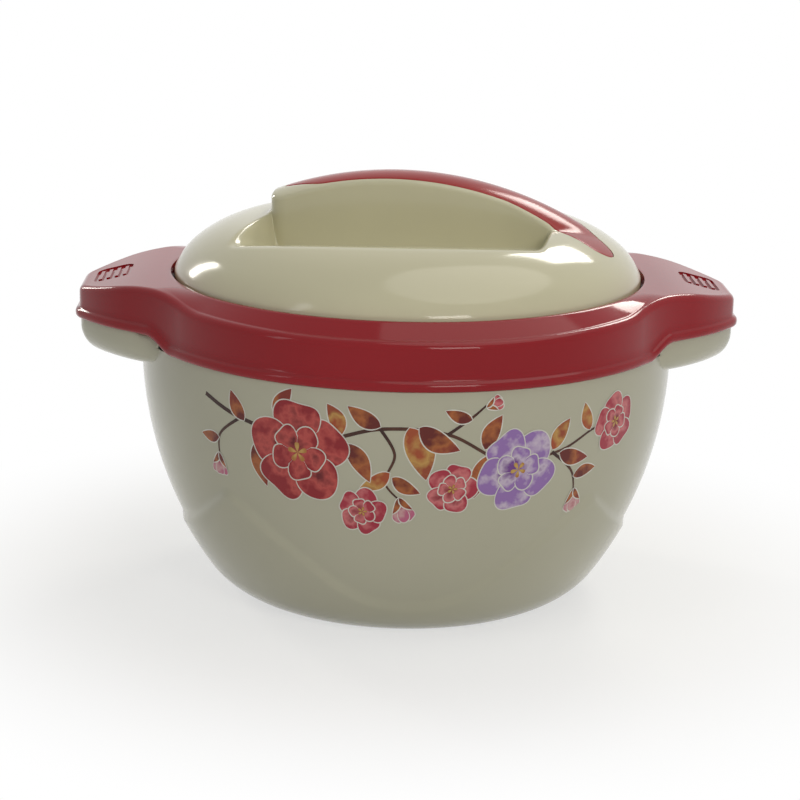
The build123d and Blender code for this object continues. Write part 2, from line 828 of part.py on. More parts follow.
# Steel liner: pressed bowl whose flange hangs on the collar's seat
with BuildPart() as inner_liner:
    with BuildSketch(Plane.XZ):
        add(liner_face(0, flange_top))
        add(strip(0, liner_flange_radius, seat_height, flange_top))
        add(liner_face(-liner_sheet, flange_top), mode=Mode.SUBTRACT)
    revolve(axis=Axis.Z)
save("inner_liner", inner_liner.part)

# Foam that fills the bowl round the liner
with BuildPart() as body_foam:
    neck = collar_bottom - overrun - foam_gap
    snap_room = fill_hole_radius + plug_snap_reach + foam_gap
    snap_top = shell_floor + plug_snap_height + foam_gap + plug_gap
    with BuildSketch(Plane.XZ):
        add(bowl_face(inside - foam_gap, shell_floor, neck))
        add(strip(0, upstand_bore - foam_gap, neck, liner_neck_height))
        add(liner_face(foam_gap, seat_height), mode=Mode.SUBTRACT)
        add(strip(0, snap_room, 0, snap_top), mode=Mode.SUBTRACT)
    revolve(axis=Axis.Z)
save("body_foam", body_foam.part)

# Plug of the filling hole in the base
with BuildPart() as base_plug:
    snap_low = shell_floor + plug_gap
    add(ring_solid(0, plug_cap_radius, foot_recess - plug_cap_height, foot_recess))
    add(ring_solid(0, fill_hole_radius - plug_gap, foot_recess, snap_low))
    add(ring_solid(0, fill_hole_radius + plug_snap_reach, snap_low, snap_low + plug_snap_height))
save("base_plug", base_plug.part)

# Four screws that draw the collar down on the bowl
with BuildPart() as ear_screws:
    with Locations(*screw_places(screw_seat)):
        Cylinder(
            screw_head_radius, screw_head_height, align=(Align.CENTER, Align.CENTER, Align.MAX)
        )
        Cylinder(
            screw_shank_radius, screw_length, align=(Align.CENTER, Align.CENTER, Align.MIN)
        )
    with Locations(*screw_places(screw_seat - screw_head_height)):
        Box(
            2 * screw_head_radius,
            screw_slot_width,
            screw_slot_depth,
            align=(Align.CENTER, Align.CENTER, Align.MIN),
            mode=Mode.SUBTRACT,
        )
save("ear_screws", ear_screws.part)

# Cover of the lid: dome with the handle standing between the two finger hollows
with BuildPart() as lid_cover:
    add(dome_solid(0, lid_bottom) - hollow_cutters(0))
    add(prism(grip_plan(0), grip_root_height, lid_top) & crest_wheel(0))
    add(cover_void(), mode=Mode.SUBTRACT)
save("lid_cover", set_lid(lid_cover.part))

# Insert in the top of the handle, with its snap legs
with BuildPart() as handle_insert:
    top = prism(insert_plan(0), grip_root_height, lid_top) & lid_surface(0)
    add(top - lid_surface(-insert_depth))
    for spot in leg_spots(0):
        under = grip_top(spot.position.X) - insert_depth
        with Locations((spot.position.X, spot.position.Y, under - leg_length)):
            Cylinder(
                leg_radius,
                leg_length + insert_depth / 2,
                align=(Align.CENTER, Align.CENTER, Align.MIN),
            )
save("handle_insert", set_lid(handle_insert.part))

# Plug of the lid's filling hole
with BuildPart() as lid_fill_plug:
    with Locations((grip_crest_place, 0, plug_seat)):
        Cylinder(
            lid_plug_cap_radius, lid_plug_cap_height, align=(Align.CENTER, Align.CENTER, Align.MIN)
        )
        Cylinder(
            lid_plug_hole_radius - plug_gap,
            lid_plug_boss_depth,
            align=(Align.CENTER, Align.CENTER, Align.MAX),
        )
save("lid_fill_plug", set_lid(lid_fill_plug.part))

# Inner plate of the lid: flange on the seal, rim up into the skirt, and a dropped floor
plate_floor = plate_drop_height + plate_wall
with BuildPart() as lid_plate:
    with BuildSketch(Plane.XZ):
        add(strip(0, plate_drop_radius, plate_drop_height, lid_bottom + plate_wall))
        add(strip(0, plate_radius, lid_bottom, lid_bottom + plate_wall))
        add(strip(plate_radius - plate_wall, plate_radius, lid_bottom, plate_rim_top))
        fillet(outer_corner(plate_drop_height), plate_corner)
        with BuildSketch(mode=Mode.PRIVATE) as well:
            well_radius = plate_drop_radius - plate_wall
            add(strip(-overrun, well_radius, plate_floor, lid_bottom + 2 * plate_wall))
            fillet(outer_corner(plate_floor), plate_corner - plate_wall)
            add(strip(0, outer_body, 0, 2 * outer_body), mode=Mode.INTERSECT)
        add(well.sketch, mode=Mode.SUBTRACT)
        groove_half = seal_tongue_width / 2 + seal_groove_gap
        groove_top = lid_bottom + seal_tongue_height + seal_groove_gap
        add(
            strip(seal_tongue_radius - groove_half, seal_tongue_radius + groove_half, 0, groove_top),
            mode=Mode.SUBTRACT,
        )
    revolve(axis=Axis.Z)
save("lid_plate", set_lid(lid_plate.part))

# Seal between the lid and the liner's flange
with BuildPart() as lid_seal:
    with BuildSketch(Plane.XZ):
        add(strip(seal_inner_radius, seal_outer_radius, flange_top, lid_bottom))
        tongue_near = seal_tongue_radius - seal_tongue_width / 2
        tongue_far = seal_tongue_radius + seal_tongue_width / 2
        add(strip(tongue_near, tongue_far, flange_top, lid_bottom + seal_tongue_height))
    revolve(axis=Axis.Z)
save("lid_seal", lid_seal.part)

# Foam that fills the lid
with BuildPart() as lid_foam:
    shelf = plate_radius - plate_wall - foam_gap
    well = plate_drop_radius - plate_corner - foam_gap
    above_ledge = plate_rim_top + plate_wall
    add(turned(
        strip(0, well, plate_floor, plate_rim_top),
        strip(0, shelf, lid_bottom + plate_wall + foam_gap, above_ledge + overrun),
        strip(0, lid_radius, above_ledge + foam_gap, lid_top),
    ))
    for spot in leg_spots(0):
        low = grip_top(spot.position.X) - insert_depth - leg_length - foam_gap
        with Locations((spot.position.X, spot.position.Y, low)):
            Cylinder(
                leg_radius + foam_gap,
                lid_top,
                align=(Align.CENTER, Align.CENTER, Align.MIN),
                mode=Mode.SUBTRACT,
            )
    with Locations((grip_crest_place, 0, plug_seat - lid_plug_boss_depth - foam_gap)):
        Cylinder(
            lid_plug_cap_radius + lid_wall + foam_gap,
            lid_top,
            align=(Align.CENTER, Align.CENTER, Align.MIN),
            mode=Mode.SUBTRACT,
        )
    add(lid_cavity(foam_gap), mode=Mode.INTERSECT)
save("lid_foam", set_lid(lid_foam.part))
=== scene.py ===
# %% [markdown]
# # Insulated hot pot
# A plastic pot for serving hot food: a cream bowl with a flower print, a red collar whose two
# ears are the carrying handles, and a domed lid that is gripped by a fin between two hollows.
# The mechanical model is loaded first and gives every size. The cells after it make the
# visible skins of the pieces that need softer forms than that model has.

import bpy
import json
from math import atan2, cos, degrees, hypot, pi, radians, sin, sqrt, tan
from mathutils import Matrix, Vector

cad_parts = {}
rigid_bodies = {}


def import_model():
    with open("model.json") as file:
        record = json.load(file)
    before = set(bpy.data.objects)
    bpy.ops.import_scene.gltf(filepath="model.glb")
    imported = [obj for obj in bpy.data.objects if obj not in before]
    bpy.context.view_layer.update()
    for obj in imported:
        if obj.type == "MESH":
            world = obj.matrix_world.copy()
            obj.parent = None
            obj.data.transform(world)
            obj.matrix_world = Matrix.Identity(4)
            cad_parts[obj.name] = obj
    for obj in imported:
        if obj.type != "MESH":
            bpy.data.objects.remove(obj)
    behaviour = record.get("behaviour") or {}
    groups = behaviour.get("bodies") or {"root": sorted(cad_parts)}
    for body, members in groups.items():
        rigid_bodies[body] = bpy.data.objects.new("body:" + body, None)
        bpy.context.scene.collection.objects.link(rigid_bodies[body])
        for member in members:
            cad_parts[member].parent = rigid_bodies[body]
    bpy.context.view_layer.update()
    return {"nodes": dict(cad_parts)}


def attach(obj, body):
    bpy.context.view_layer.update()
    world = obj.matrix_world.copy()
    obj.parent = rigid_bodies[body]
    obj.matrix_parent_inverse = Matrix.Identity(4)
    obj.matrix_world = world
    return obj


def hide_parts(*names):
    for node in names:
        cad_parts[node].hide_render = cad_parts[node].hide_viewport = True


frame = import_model()
MM = 0.001

# %% [markdown]
# ## Camera
# The photograph looks down on the pot at about fifteen degrees from one metre away, with a
# long lens and a slight tilt. A camera could be aimed with a Track To constraint, but that
# leaves out the tilt. So it is turned in three steps: round the upright axis to face the pot,
# down by the pitch, and about its own view line.

# %% Place the camera
CAMERA_DISTANCE = 1.0
CAMERA_HEIGHT = 0.345
CAMERA_TURN = radians(-2.0)
CAMERA_SWING = radians(0.13)
CAMERA_PITCH = radians(14.6)
CAMERA_ROLL = radians(1.2)
LENS = 101.5
FILM_WIDTH = 36
NEAREST_SEEN = 0.05

bpy.ops.object.camera_add()
camera = bpy.context.object
camera.name = "photo_camera"
camera.data.lens = LENS
camera.data.sensor_width = FILM_WIDTH
camera.data.clip_start = NEAREST_SEEN
stand = Vector((0, -CAMERA_DISTANCE, CAMERA_HEIGHT))
camera.location = Matrix.Rotation(CAMERA_TURN, 3, "Z") @ stand
aim = Matrix.Rotation(CAMERA_TURN + CAMERA_SWING, 3, "Z")
aim = aim @ Matrix.Rotation(pi / 2 - CAMERA_PITCH, 3, "X") @ Matrix.Rotation(CAMERA_ROLL, 3, "Z")
camera.rotation_euler = aim.to_euler()
bpy.context.scene.camera = camera
print("camera at", [round(v, 3) for v in camera.location])

# %% [markdown]
# ## Light and floor
# Glossy plastic shows the lamps as bright shapes, so their size and place matter more than
# their strength. A soft lamp overhead, one in front, a narrow one at the left and two small
# ones behind, whose light glances off the lid's edge, stand for a kitchen. The large one
# overhead is round, so that its mirror image has no corners.

# %% Place the lamps
WARM = (1.0, 0.97, 0.90)
COOL = (0.96, 0.98, 1.0)
LAMP_AIM = Vector((0, 0, 0.1))


def softbox(name, place, width, height, power, colour, shape="RECTANGLE"):
    """A soft lamp that faces the pot."""
    bpy.ops.object.light_add(type="AREA", location=place)
    lamp = bpy.context.object
    lamp.name = name
    lamp.data.shape = shape
    lamp.data.size = width
    lamp.data.size_y = height
    lamp.data.energy = power
    lamp.data.color = colour
    lamp.rotation_euler = (LAMP_AIM - Vector(place)).to_track_quat("-Z", "Y").to_euler()
    print(name, power, "watts")


softbox("lamp_over", (0.45, -0.1, 1.5), 1.7, 1.3, 8.0, WARM, shape="ELLIPSE")
softbox("lamp_front", (0.45, -1.35, 0.75), 0.5, 0.5, 6.0, WARM)
softbox("lamp_left", (-1.1, -0.75, 0.7), 0.15, 0.7, 0.9, COOL)
softbox("lamp_rear_left", (-1.0, 0.95, 0.62), 0.14, 0.5, 4.5, WARM)
softbox("lamp_rear_right", (0.62, 1.05, 1.05), 0.4, 0.4, 6.0, WARM)

# %% [markdown]
# The backdrop is white to the camera, in reflections and through clear things, while the pot is
# lit by a weaker sky. One even white sky would be simpler, but it would wash out the shades of
# the plastic. The light path tells which kind of ray meets the sky.

# %% Sky
WHITE = (1, 1, 1, 1)
SKY_TINT = (0.95, 0.96, 0.92, 1)
SKY_STRENGTH = 0.15


def combined(tree, operation, one, other, clamp=False):
    """Two values of a tree put together by a Math node."""
    node = tree.nodes.new("ShaderNodeMath")
    node.operation = operation
    node.use_clamp = clamp
    tree.links.new(one, node.inputs[0])
    tree.links.new(other, node.inputs[1])
    return node.outputs["Value"]


def background_rays(tree):
    """1 for camera, glossy and transmission rays, which are to see the white background."""
    rays = tree.nodes.new("ShaderNodeLightPath")
    total = rays.outputs["Is Camera Ray"]
    for kind in ("Is Glossy Ray", "Is Transmission Ray"):
        total = combined(tree, "ADD", total, rays.outputs[kind], clamp=True)
    return total


def sky_light(tree, colour, strength):
    """A plain sky of one colour."""
    light = tree.nodes.new("ShaderNodeBackground")
    light.inputs["Color"].default_value = colour
    light.inputs["Strength"].default_value = strength
    return light.outputs["Background"]


world = bpy.data.worlds.new("studio")
bpy.context.scene.world = world
world.use_nodes = True
sky = world.node_tree
sky.nodes.clear()
sky_out = sky.nodes.new("ShaderNodeOutputWorld")
sky_mix = sky.nodes.new("ShaderNodeMixShader")
sky.links.new(background_rays(sky), sky_mix.inputs["Fac"])
sky.links.new(sky_light(sky, SKY_TINT, SKY_STRENGTH), sky_mix.inputs[1])
sky.links.new(sky_light(sky, WHITE, 1.0), sky_mix.inputs[2])
sky.links.new(sky_mix.outputs["Shader"], sky_out.inputs["Surface"])
bpy.context.scene.view_settings.view_transform = "Standard"
print("sky strength", SKY_STRENGTH)

# %% [markdown]
# The floor is pale, lit paper near the pot, where it holds a soft shadow. Further out its own
# light takes over for the camera, so that it runs into the white backdrop with no horizon. A
# curved backdrop would hide the horizon too, but it would need light of its own to look white.

# %% Lay the floor
FLOOR_RADIUS = 6.0
FLOOR_CORNERS = 96
PAPER_EDGE = 0.125
WHITE_EDGE = 0.27
GLOW_BY_THE_POT = 0.62
PAPER_COLOUR = (0.90, 0.90, 0.89, 1)
PAPER_ROUGHNESS = 0.7


def length_of(tree, vector):
    """Length of a vector of a tree."""
    node = tree.nodes.new("ShaderNodeVectorMath")
    node.operation = "LENGTH"
    tree.links.new(vector, node.inputs[0])
    return node.outputs["Value"]


bpy.ops.mesh.primitive_circle_add(vertices=FLOOR_CORNERS, radius=FLOOR_RADIUS, fill_type="NGON")
floor = bpy.context.object
floor.name = "floor"
floor_finish = bpy.data.materials.new("floor_paper")
floor_finish.use_nodes = True
tree = floor_finish.node_tree
paper = tree.nodes["Principled BSDF"]
paper.inputs["Base Color"].default_value = PAPER_COLOUR
paper.inputs["Roughness"].default_value = PAPER_ROUGHNESS
floor_place = tree.nodes.new("ShaderNodeTexCoord")
fade = tree.nodes.new("ShaderNodeMapRange")
fade.interpolation_type = "SMOOTHSTEP"
fade.inputs["From Min"].default_value = PAPER_EDGE
fade.inputs["From Max"].default_value = WHITE_EDGE
fade.inputs["To Min"].default_value = GLOW_BY_THE_POT
tree.links.new(length_of(tree, floor_place.outputs["Object"]), fade.inputs["Value"])
glow = tree.nodes.new("ShaderNodeEmission")
glow.inputs["Color"].default_value = WHITE
blend = tree.nodes.new("ShaderNodeMixShader")
seen = combined(tree, "MULTIPLY", fade.outputs["Result"], background_rays(tree))
tree.links.new(seen, blend.inputs["Fac"])
tree.links.new(paper.outputs["BSDF"], blend.inputs[1])
tree.links.new(glow.outputs["Emission"], blend.inputs[2])
tree.links.new(blend.outputs["Shader"], tree.nodes["Material Output"].inputs["Surface"])
floor.data.materials.append(floor_finish)
print("floor white beyond", WHITE_EDGE)

# %% [markdown]
# ## Moulded plastic
# The bowl, the lid and the collar are injection moulded polypropylene. One even colour would
# look like a drawing. A moulding is never perfectly even: its colour drifts a little over some
# centimetres, its gloss too, and the skin keeps a very fine ripple. One function makes all the
# plastics, with the colour and the gloss as its values, and everything reads Object
# coordinates, so nothing slides on the piece. Noise scales are in waves per metre.

# %% Helpers for finishes
NOISE_LOW, NOISE_HIGH = 0.3, 0.7
GLOSS_DRIFT = 18


def finish(name):
    """A new material with its tree and its Principled shader."""
    material = bpy.data.materials.new(name)
    material.use_nodes = True
    return material, material.node_tree, material.node_tree.nodes["Principled BSDF"]


def noise(tree, scale, detail):
    """A noise pattern over the piece."""
    place = tree.nodes.new("ShaderNodeTexCoord")
    wave = tree.nodes.new("ShaderNodeTexNoise")
    wave.inputs["Scale"].default_value = scale
    wave.inputs["Detail"].default_value = detail
    tree.links.new(place.outputs["Object"], wave.inputs["Vector"])
    return wave.outputs["Fac"]


def spread(tree, value, low, high):
    """A noise value, which seldom leaves the middle of its range, stretched to low..high."""
    stretch = tree.nodes.new("ShaderNodeMapRange")
    stretch.inputs["From Min"].default_value = NOISE_LOW
    stretch.inputs["From Max"].default_value = NOISE_HIGH
    stretch.inputs["To Min"].default_value = low
    stretch.inputs["To Max"].default_value = high
    tree.links.new(value, stretch.inputs["Value"])
    return stretch.outputs["Result"]


def two_tone(tree, share, one, other):
    """A colour between two colours."""
    mix = tree.nodes.new("ShaderNodeMix")
    mix.data_type = "RGBA"
    mix.inputs["A"].default_value = (*one, 1)
    mix.inputs["B"].default_value = (*other, 1)
    tree.links.new(share, mix.inputs["Factor"])
    return mix.outputs["Result"]


def ripple(tree, shader, height, depth):
    """A bump of this depth in metres."""
    bump = tree.nodes.new("ShaderNodeBump")
    bump.inputs["Strength"].default_value = 1.0
    bump.inputs["Distance"].default_value = depth
    tree.links.new(height, bump.inputs["Height"])
    tree.links.new(bump.outputs["Normal"], shader.inputs["Normal"])


def sheen(tree, shader, low, high, mirror):
    """Roughness that drifts between low and high; mirror is how much the skin reflects."""
    drift = spread(tree, noise(tree, GLOSS_DRIFT, detail=1), low, high)
    tree.links.new(drift, shader.inputs["Roughness"])
    shader.inputs["Specular IOR Level"].default_value = mirror


# %% Plastic finishes
COLOUR_DRIFT = 9
GLOSS_RANGE = 0.04
SKIN_WAVES = 160
SKIN_DEPTH = 0.00001


def plastic(name, colour, shade, gloss, mirror=0.3):
    """Moulded plastic that drifts between two close colours."""
    material, tree, shader = finish(name)
    drift = spread(tree, noise(tree, COLOUR_DRIFT, detail=1), 0, 1)
    tree.links.new(two_tone(tree, drift, colour, shade), shader.inputs["Base Color"])
    sheen(tree, shader, gloss, gloss + GLOSS_RANGE, mirror)
    ripple(tree, shader, noise(tree, SKIN_WAVES, detail=2), SKIN_DEPTH)
    print("plastic", name)
    return material


cream_body = plastic("cream_body", (0.49, 0.48, 0.38), (0.455, 0.445, 0.345), 0.12)
# The lid's cream is the bowl's cream painted lighter and yellower: painted light that stands in for
# the lamps' light on the lid's top.
cream_lid_painted_lighter = plastic("cream_lid_painted_lighter", (0.63, 0.60, 0.42), (0.58, 0.55, 0.38), 0.10, mirror=0.4)
red_gloss = plastic("red_gloss", (0.32, 0.006, 0.012), (0.27, 0.004, 0.009), 0.08, mirror=0.22)
red_satin = plastic("red_satin", (0.37, 0.020, 0.017), (0.32, 0.014, 0.013), 0.16, mirror=0.18)
white_plastic = plastic("white_plastic", (0.70, 0.70, 0.68), (0.66, 0.66, 0.63), 0.28)

# %% [markdown]
# The liner is spun stainless steel: fine rings run round it, which stretch the highlights. An
# anisotropic gloss would stretch them too, but it shows no rings. Here they come from the
# distance to the pot's axis and from the height on the wall. The foam is never seen with the
# pot whole, but it is still a pale, pored material, and the seal is a soft grey silicone.

# %% Steel, foam and silicone
RING_SHADE = 0.86
RING_GLOSS = 0.16
RING_DEPTH = 0.00003
RING_DETAIL = 3


def brushed(name, colour, rings, gloss):
    """Metal with fine turned rings round the pot's axis."""
    material, tree, shader = finish(name)
    shader.inputs["Metallic"].default_value = 1.0
    place = tree.nodes.new("ShaderNodeTexCoord")
    split = tree.nodes.new("ShaderNodeSeparateXYZ")
    flat = tree.nodes.new("ShaderNodeVectorMath")
    flat.operation = "MULTIPLY"
    flat.inputs[1].default_value = (1, 1, 0)
    tree.links.new(place.outputs["Object"], split.inputs["Vector"])
    tree.links.new(place.outputs["Object"], flat.inputs[0])
    reach = length_of(tree, flat.outputs["Vector"])
    wave = tree.nodes.new("ShaderNodeTexNoise")
    wave.noise_dimensions = "1D"
    wave.inputs["Scale"].default_value = rings
    wave.inputs["Detail"].default_value = RING_DETAIL
    tree.links.new(combined(tree, "ADD", reach, split.outputs["Z"]), wave.inputs["W"])
    ring = wave.outputs["Fac"]
    dull = tuple(part * RING_SHADE for part in colour)
    tree.links.new(two_tone(tree, ring, colour, dull), shader.inputs["Base Color"])
    tree.links.new(spread(tree, ring, gloss, gloss + RING_GLOSS), shader.inputs["Roughness"])
    ripple(tree, shader, ring, RING_DEPTH)
    print("metal", name)
    return material


def pored(name, colour, shade, pores, depth, roughness):
    """A matt material with pores."""
    material, tree, shader = finish(name)
    grain = noise(tree, pores, detail=2)
    mottled = two_tone(tree, spread(tree, grain, 0, 1), colour, shade)
    tree.links.new(mottled, shader.inputs["Base Color"])
    shader.inputs["Roughness"].default_value = roughness
    ripple(tree, shader, grain, depth)
    print("matt", name)
    return material


liner_steel = brushed("liner_steel", (0.62, 0.62, 0.61), 2600, 0.20)
screw_steel = brushed("screw_steel", (0.50, 0.50, 0.51), 4000, 0.30)
foam = pored("foam", (0.78, 0.72, 0.55), (0.62, 0.55, 0.38), 900, 0.0003, 0.9)
silicone = pored("silicone", (0.42, 0.42, 0.41), (0.38, 0.38, 0.37), 500, 0.00004, 0.55)

# %% [markdown]
# Eight parts of the working model are shown as they are: the liner, the foam, the seal, the
# screws, the lid's plate and the plugs. Most are out of sight, and their machined shapes are
# right, so they need no new mesh, only a finish.

# %% Finish the carried-over parts
FINISHES = {
    "inner_liner": liner_steel, "body_foam": foam, "lid_foam": foam,
    "base_plug": white_plastic, "ear_screws": screw_steel, "lid_fill_plug": white_plastic,
    "lid_plate": white_plastic, "lid_seal": silicone,
}
for node, material in FINISHES.items():
    part = frame["nodes"][node]
    if not part.material_slots:
        part.data.materials.append(material)
    for slot in part.material_slots:
        slot.material = material
    print("finished", node, material.name)

# %% [markdown]
# ## A sheet laid point by point
# The bowl, the lid and the petals are curved skins that no primitive comes near. They could be
# sculpted, but then no size would be sure. So each starts as a grid primitive. Its vertices are
# counted in columns and rows and every one is laid where a small function of the piece says.
# Then the seam is welded, the normals are made to point outwards, and the skin is smoothed up
# to a crease angle.

# %% Sheet helper
WELD = 0.00001
CREASE = radians(38)


def sheet(name, columns, rows, place, closed=True):
    """A grid whose vertex is laid at place(column, row), in metres; a closed one is welded."""
    bpy.ops.object.select_all(action="DESELECT")
    bpy.ops.mesh.primitive_grid_add(x_subdivisions=columns, y_subdivisions=rows, size=2)
    piece = bpy.context.object
    piece.name = name
    for vertex in piece.data.vertices:
        column = round((vertex.co.x + 1) / 2 * columns)
        row = round((vertex.co.y + 1) / 2 * rows)
        vertex.co = place(column, row)
    bpy.ops.object.mode_set(mode="EDIT")
    bpy.ops.mesh.select_all(action="SELECT")
    if closed:
        bpy.ops.mesh.remove_doubles(threshold=WELD)
        bpy.ops.mesh.normals_make_consistent(inside=False)
    bpy.ops.object.mode_set(mode="OBJECT")
    bpy.ops.object.shade_smooth_by_angle(angle=CREASE)
    return piece


# %% Helpers for shapes
def smooth(value):
    """A soft step from 0 to 1."""
    value = min(max(value, 0.0), 1.0)
    return value * value * (3 - 2 * value)


def soft_max(one, other, width):
    """The larger of two values, rounded where they meet."""
    near = max(width - abs(one - other), 0.0) / width
    return max(one, other) + near * near * width / 4


# %% [markdown]
# ## Bowl
# Its profile is two tangent arcs, a long one for the wall and a short one for the heel. A wavy
# line runs round it, and all that is above the line lies 1.8 mm deeper. On the real bowl that
# step is a soft bend, so the skin sinks over three or four millimetres across the line. A Screw
# modifier could spin the profile, but the wavy line differs all the way round, so each point is
# laid by itself. The lengths in these cells are in millimetres, as on a drawing, and are turned
# to metres at the end.

# %% Bowl profile
WALL_CENTRE = Vector((-52.7, 112.0))
WALL_CURVE = 173.8
HEEL_HEIGHT = 14.0
FOOT_RADIUS = 71.4
BOWL_TOP = 118.7


def circle_x(centre, radius, height):
    """How far out a circle of the profile lies at this height."""
    return centre.x + sqrt(radius ** 2 - (height - centre.y) ** 2)


heel_top = Vector((circle_x(WALL_CENTRE, WALL_CURVE, HEEL_HEIGHT), HEEL_HEIGHT))
heel_out = (heel_top - WALL_CENTRE) / WALL_CURVE
heel_chord = heel_top - Vector((FOOT_RADIUS, 0))
heel_curve = heel_chord.dot(heel_chord) / (2 * heel_chord.dot(heel_out))
heel_centre = heel_top - heel_out * heel_curve
print("heel radius", round(heel_curve, 2))

# %% Wavy line
FRONT_WAVE = (17.0, 52.0, radians(39))
SIDE_WAVE = (33.0, 125.0, radians(40))
CROSSING_ROUND = 4.0
CREASE_WIDTH = 3.6
RELIEF = 1.8
PANEL_CURVE = WALL_CURVE - RELIEF


def above_wave(across, height, wave):
    """How far a place lies above a wavy line: an arc round its lowest place, then a ramp."""
    low, bend, angle = wave
    turn = bend * sin(angle)
    if across <= turn:
        line = low + bend - sqrt(bend ** 2 - across ** 2)
    else:
        line = low + bend * (1 - cos(angle)) + (across - turn) * tan(angle)
    return (height - line) * cos(angle)


def sunk(x, y, z):
    """How far the wall is sunk here, from 0 below the wavy line to 1 above it."""
    front = above_wave(abs(x), z, FRONT_WAVE)
    side = above_wave(abs(y), z, SIDE_WAVE)
    return smooth(soft_max(front, side, CROSSING_ROUND) / CREASE_WIDTH + 0.5)


half_way = BOWL_TOP / 2
front_reach = circle_x(WALL_CENTRE, WALL_CURVE, half_way)
print("front sunk by", round(RELIEF * sunk(0, -front_reach, half_way), 2), "mm half way up")

# %% Lay the bowl's skin
BOWL_COLUMNS = 480
WALL_ROWS = 84
HEEL_ROWS = 22
UPSTAND = [(108.8, 119.0), (108.8, 129.8), (116.8, 129.8), (116.8, BOWL_TOP)]
FOOT = [(67.5, 0.0), (65.5, 0.4), (64.9, 2.6), (40.0, 2.6), (12.0, 2.6), (12.0, 5.0)]

bowl_rows = [(Vector(spot), None) for spot in UPSTAND]
for step in range(WALL_ROWS + 1):
    height = BOWL_TOP + (HEEL_HEIGHT - BOWL_TOP) * step / WALL_ROWS
    bowl_rows.append((Vector((circle_x(WALL_CENTRE, WALL_CURVE, height), height)), WALL_CENTRE))
for step in range(1, HEEL_ROWS + 1):
    height = HEEL_HEIGHT * (1 - step / HEEL_ROWS)
    bowl_rows.append((Vector((circle_x(heel_centre, heel_curve, height), height)), heel_centre))
bowl_rows += [(Vector(spot), None) for spot in FOOT]


def bowl_spot(column, row):
    """Place of one point of the bowl's skin."""
    turn = 2 * pi * column / BOWL_COLUMNS
    spot, centre = bowl_rows[row]
    if centre is not None:
        depth = RELIEF * sunk(spot.x * cos(turn), spot.x * sin(turn), spot.y)
        spot = spot - (spot - centre).normalized() * depth
    return Vector((spot.x * cos(turn), spot.x * sin(turn), spot.y)) * MM


bowl_skin = sheet("bowl_skin", BOWL_COLUMNS, len(bowl_rows) - 1, bowl_spot)
bowl_skin.data.materials.append(cream_body)
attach(bowl_skin, "pot")
print("bowl skin", len(bowl_skin.data.polygons), "faces")

# %% [markdown]
# Under each ear hangs a cream tray that belongs to the bowl, with posts for the screws. It could
# be laid point by point too, but its shape in the working model is right, so it is a copy of
# that mesh: merged first, then everything that belongs to the bowl itself is deleted.

# %% Copy the ears' trays
TRAY_LOW = 100.0
TRAY_WALL_IN = 119.4
SKIN_SLACK = 0.02

shell = frame["nodes"]["outer_shell"]
trays = bpy.data.objects.new("ear_trays", shell.data.copy())
bpy.context.collection.objects.link(trays)
bpy.ops.object.select_all(action="DESELECT")
trays.select_set(True)
bpy.context.view_layer.objects.active = trays
bpy.ops.object.mode_set(mode="EDIT")
bpy.ops.mesh.select_all(action="SELECT")
bpy.ops.mesh.remove_doubles(threshold=WELD)
bpy.ops.mesh.select_all(action="DESELECT")
bpy.ops.object.mode_set(mode="OBJECT")
for face in trays.data.polygons:
    middle = face.center / MM
    reach = hypot(middle.x, middle.y)
    wall_reach = circle_x(WALL_CENTRE, PANEL_CURVE, min(middle.z, BOWL_TOP)) + SKIN_SLACK
    upstand = middle.z > BOWL_TOP and reach < TRAY_WALL_IN
    face.select = middle.z < TRAY_LOW or upstand or reach < wall_reach
bpy.ops.object.mode_set(mode="EDIT")
bpy.ops.mesh.delete(type="FACE")
bpy.ops.object.mode_set(mode="OBJECT")
bpy.ops.object.shade_smooth_by_angle(angle=CREASE)
trays.data.materials.clear()
trays.data.materials.append(cream_body)
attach(trays, "pot")
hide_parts("outer_shell")
print("trays", len(trays.data.polygons), "faces", [round(v, 4) for v in trays.dimensions])

# %% [markdown]
# ## Lid
# The lid's outer skin is one moulding: the dome, the two finger hollows beside the fin, and the
# fin itself with a shallow pocket for the red insert. Fin and hollows could be cut into a dome
# with booleans, but each cut would leave a seam that shows in the gloss. So the skin is one
# sheet. Seen from above its mesh is a set of rings. The outermost follow the round edge, the
# inner ones follow the fin's outline, and those between pass smoothly from one to the other.
# Every point then takes its height from the dome, the hollows' floors or the fin's crest.

# %% Helpers for closed lines
SHORTEST = 0.000001


def quarter_round(radius, step, steps):
    """The two ways along a quarter circle: what is left of the one and gained of the other."""
    turn = pi / 2 * step / steps
    return radius * (1 - sin(turn)), radius * (1 - cos(turn))


def heading(turn):
    """The direction at this angle, seen from above."""
    return Vector((cos(turn), sin(turn)))


def respaced(points, count):
    """The same closed line with evenly spaced points."""
    walked = [0.0]
    for i in range(len(points)):
        walked.append(walked[-1] + (points[(i + 1) % len(points)] - points[i]).length)
    spots = []
    at = 0
    for step in range(count):
        target = walked[-1] * step / count
        while walked[at + 1] < target:
            at += 1
        share = (target - walked[at]) / max(walked[at + 1] - walked[at], SHORTEST)
        spots.append(points[at].lerp(points[(at + 1) % len(points)], share))
    return spots


def averaged(line, reach):
    """A closed line whose every point moves to the middle of its neighbours on both sides."""
    softened = []
    for i in range(len(line)):
        near = [line[(i + k) % len(line)] for k in range(-reach, reach + 1)]
        softened.append(sum(near, Vector((0, 0))) / len(near))
    return softened


def line_normals(line, reach):
    """The outward direction at each point of a closed line, from the neighbours at this reach."""
    normals = []
    for i in range(len(line)):
        run = (line[(i + reach) % len(line)] - line[i - reach]).normalized()
        normals.append(Vector((run.y, -run.x)))
    return normals


def moved(line, normals, distance):
    """A closed line moved outwards; a distance below zero moves it inwards."""
    return [spot + normal * distance for spot, normal in zip(line, normals)]


def ring_at(places, heights):
    """One ring of points, from their places seen from above and their heights."""
    return [Vector((p.x, p.y, z)) for p, z in zip(places, heights)]


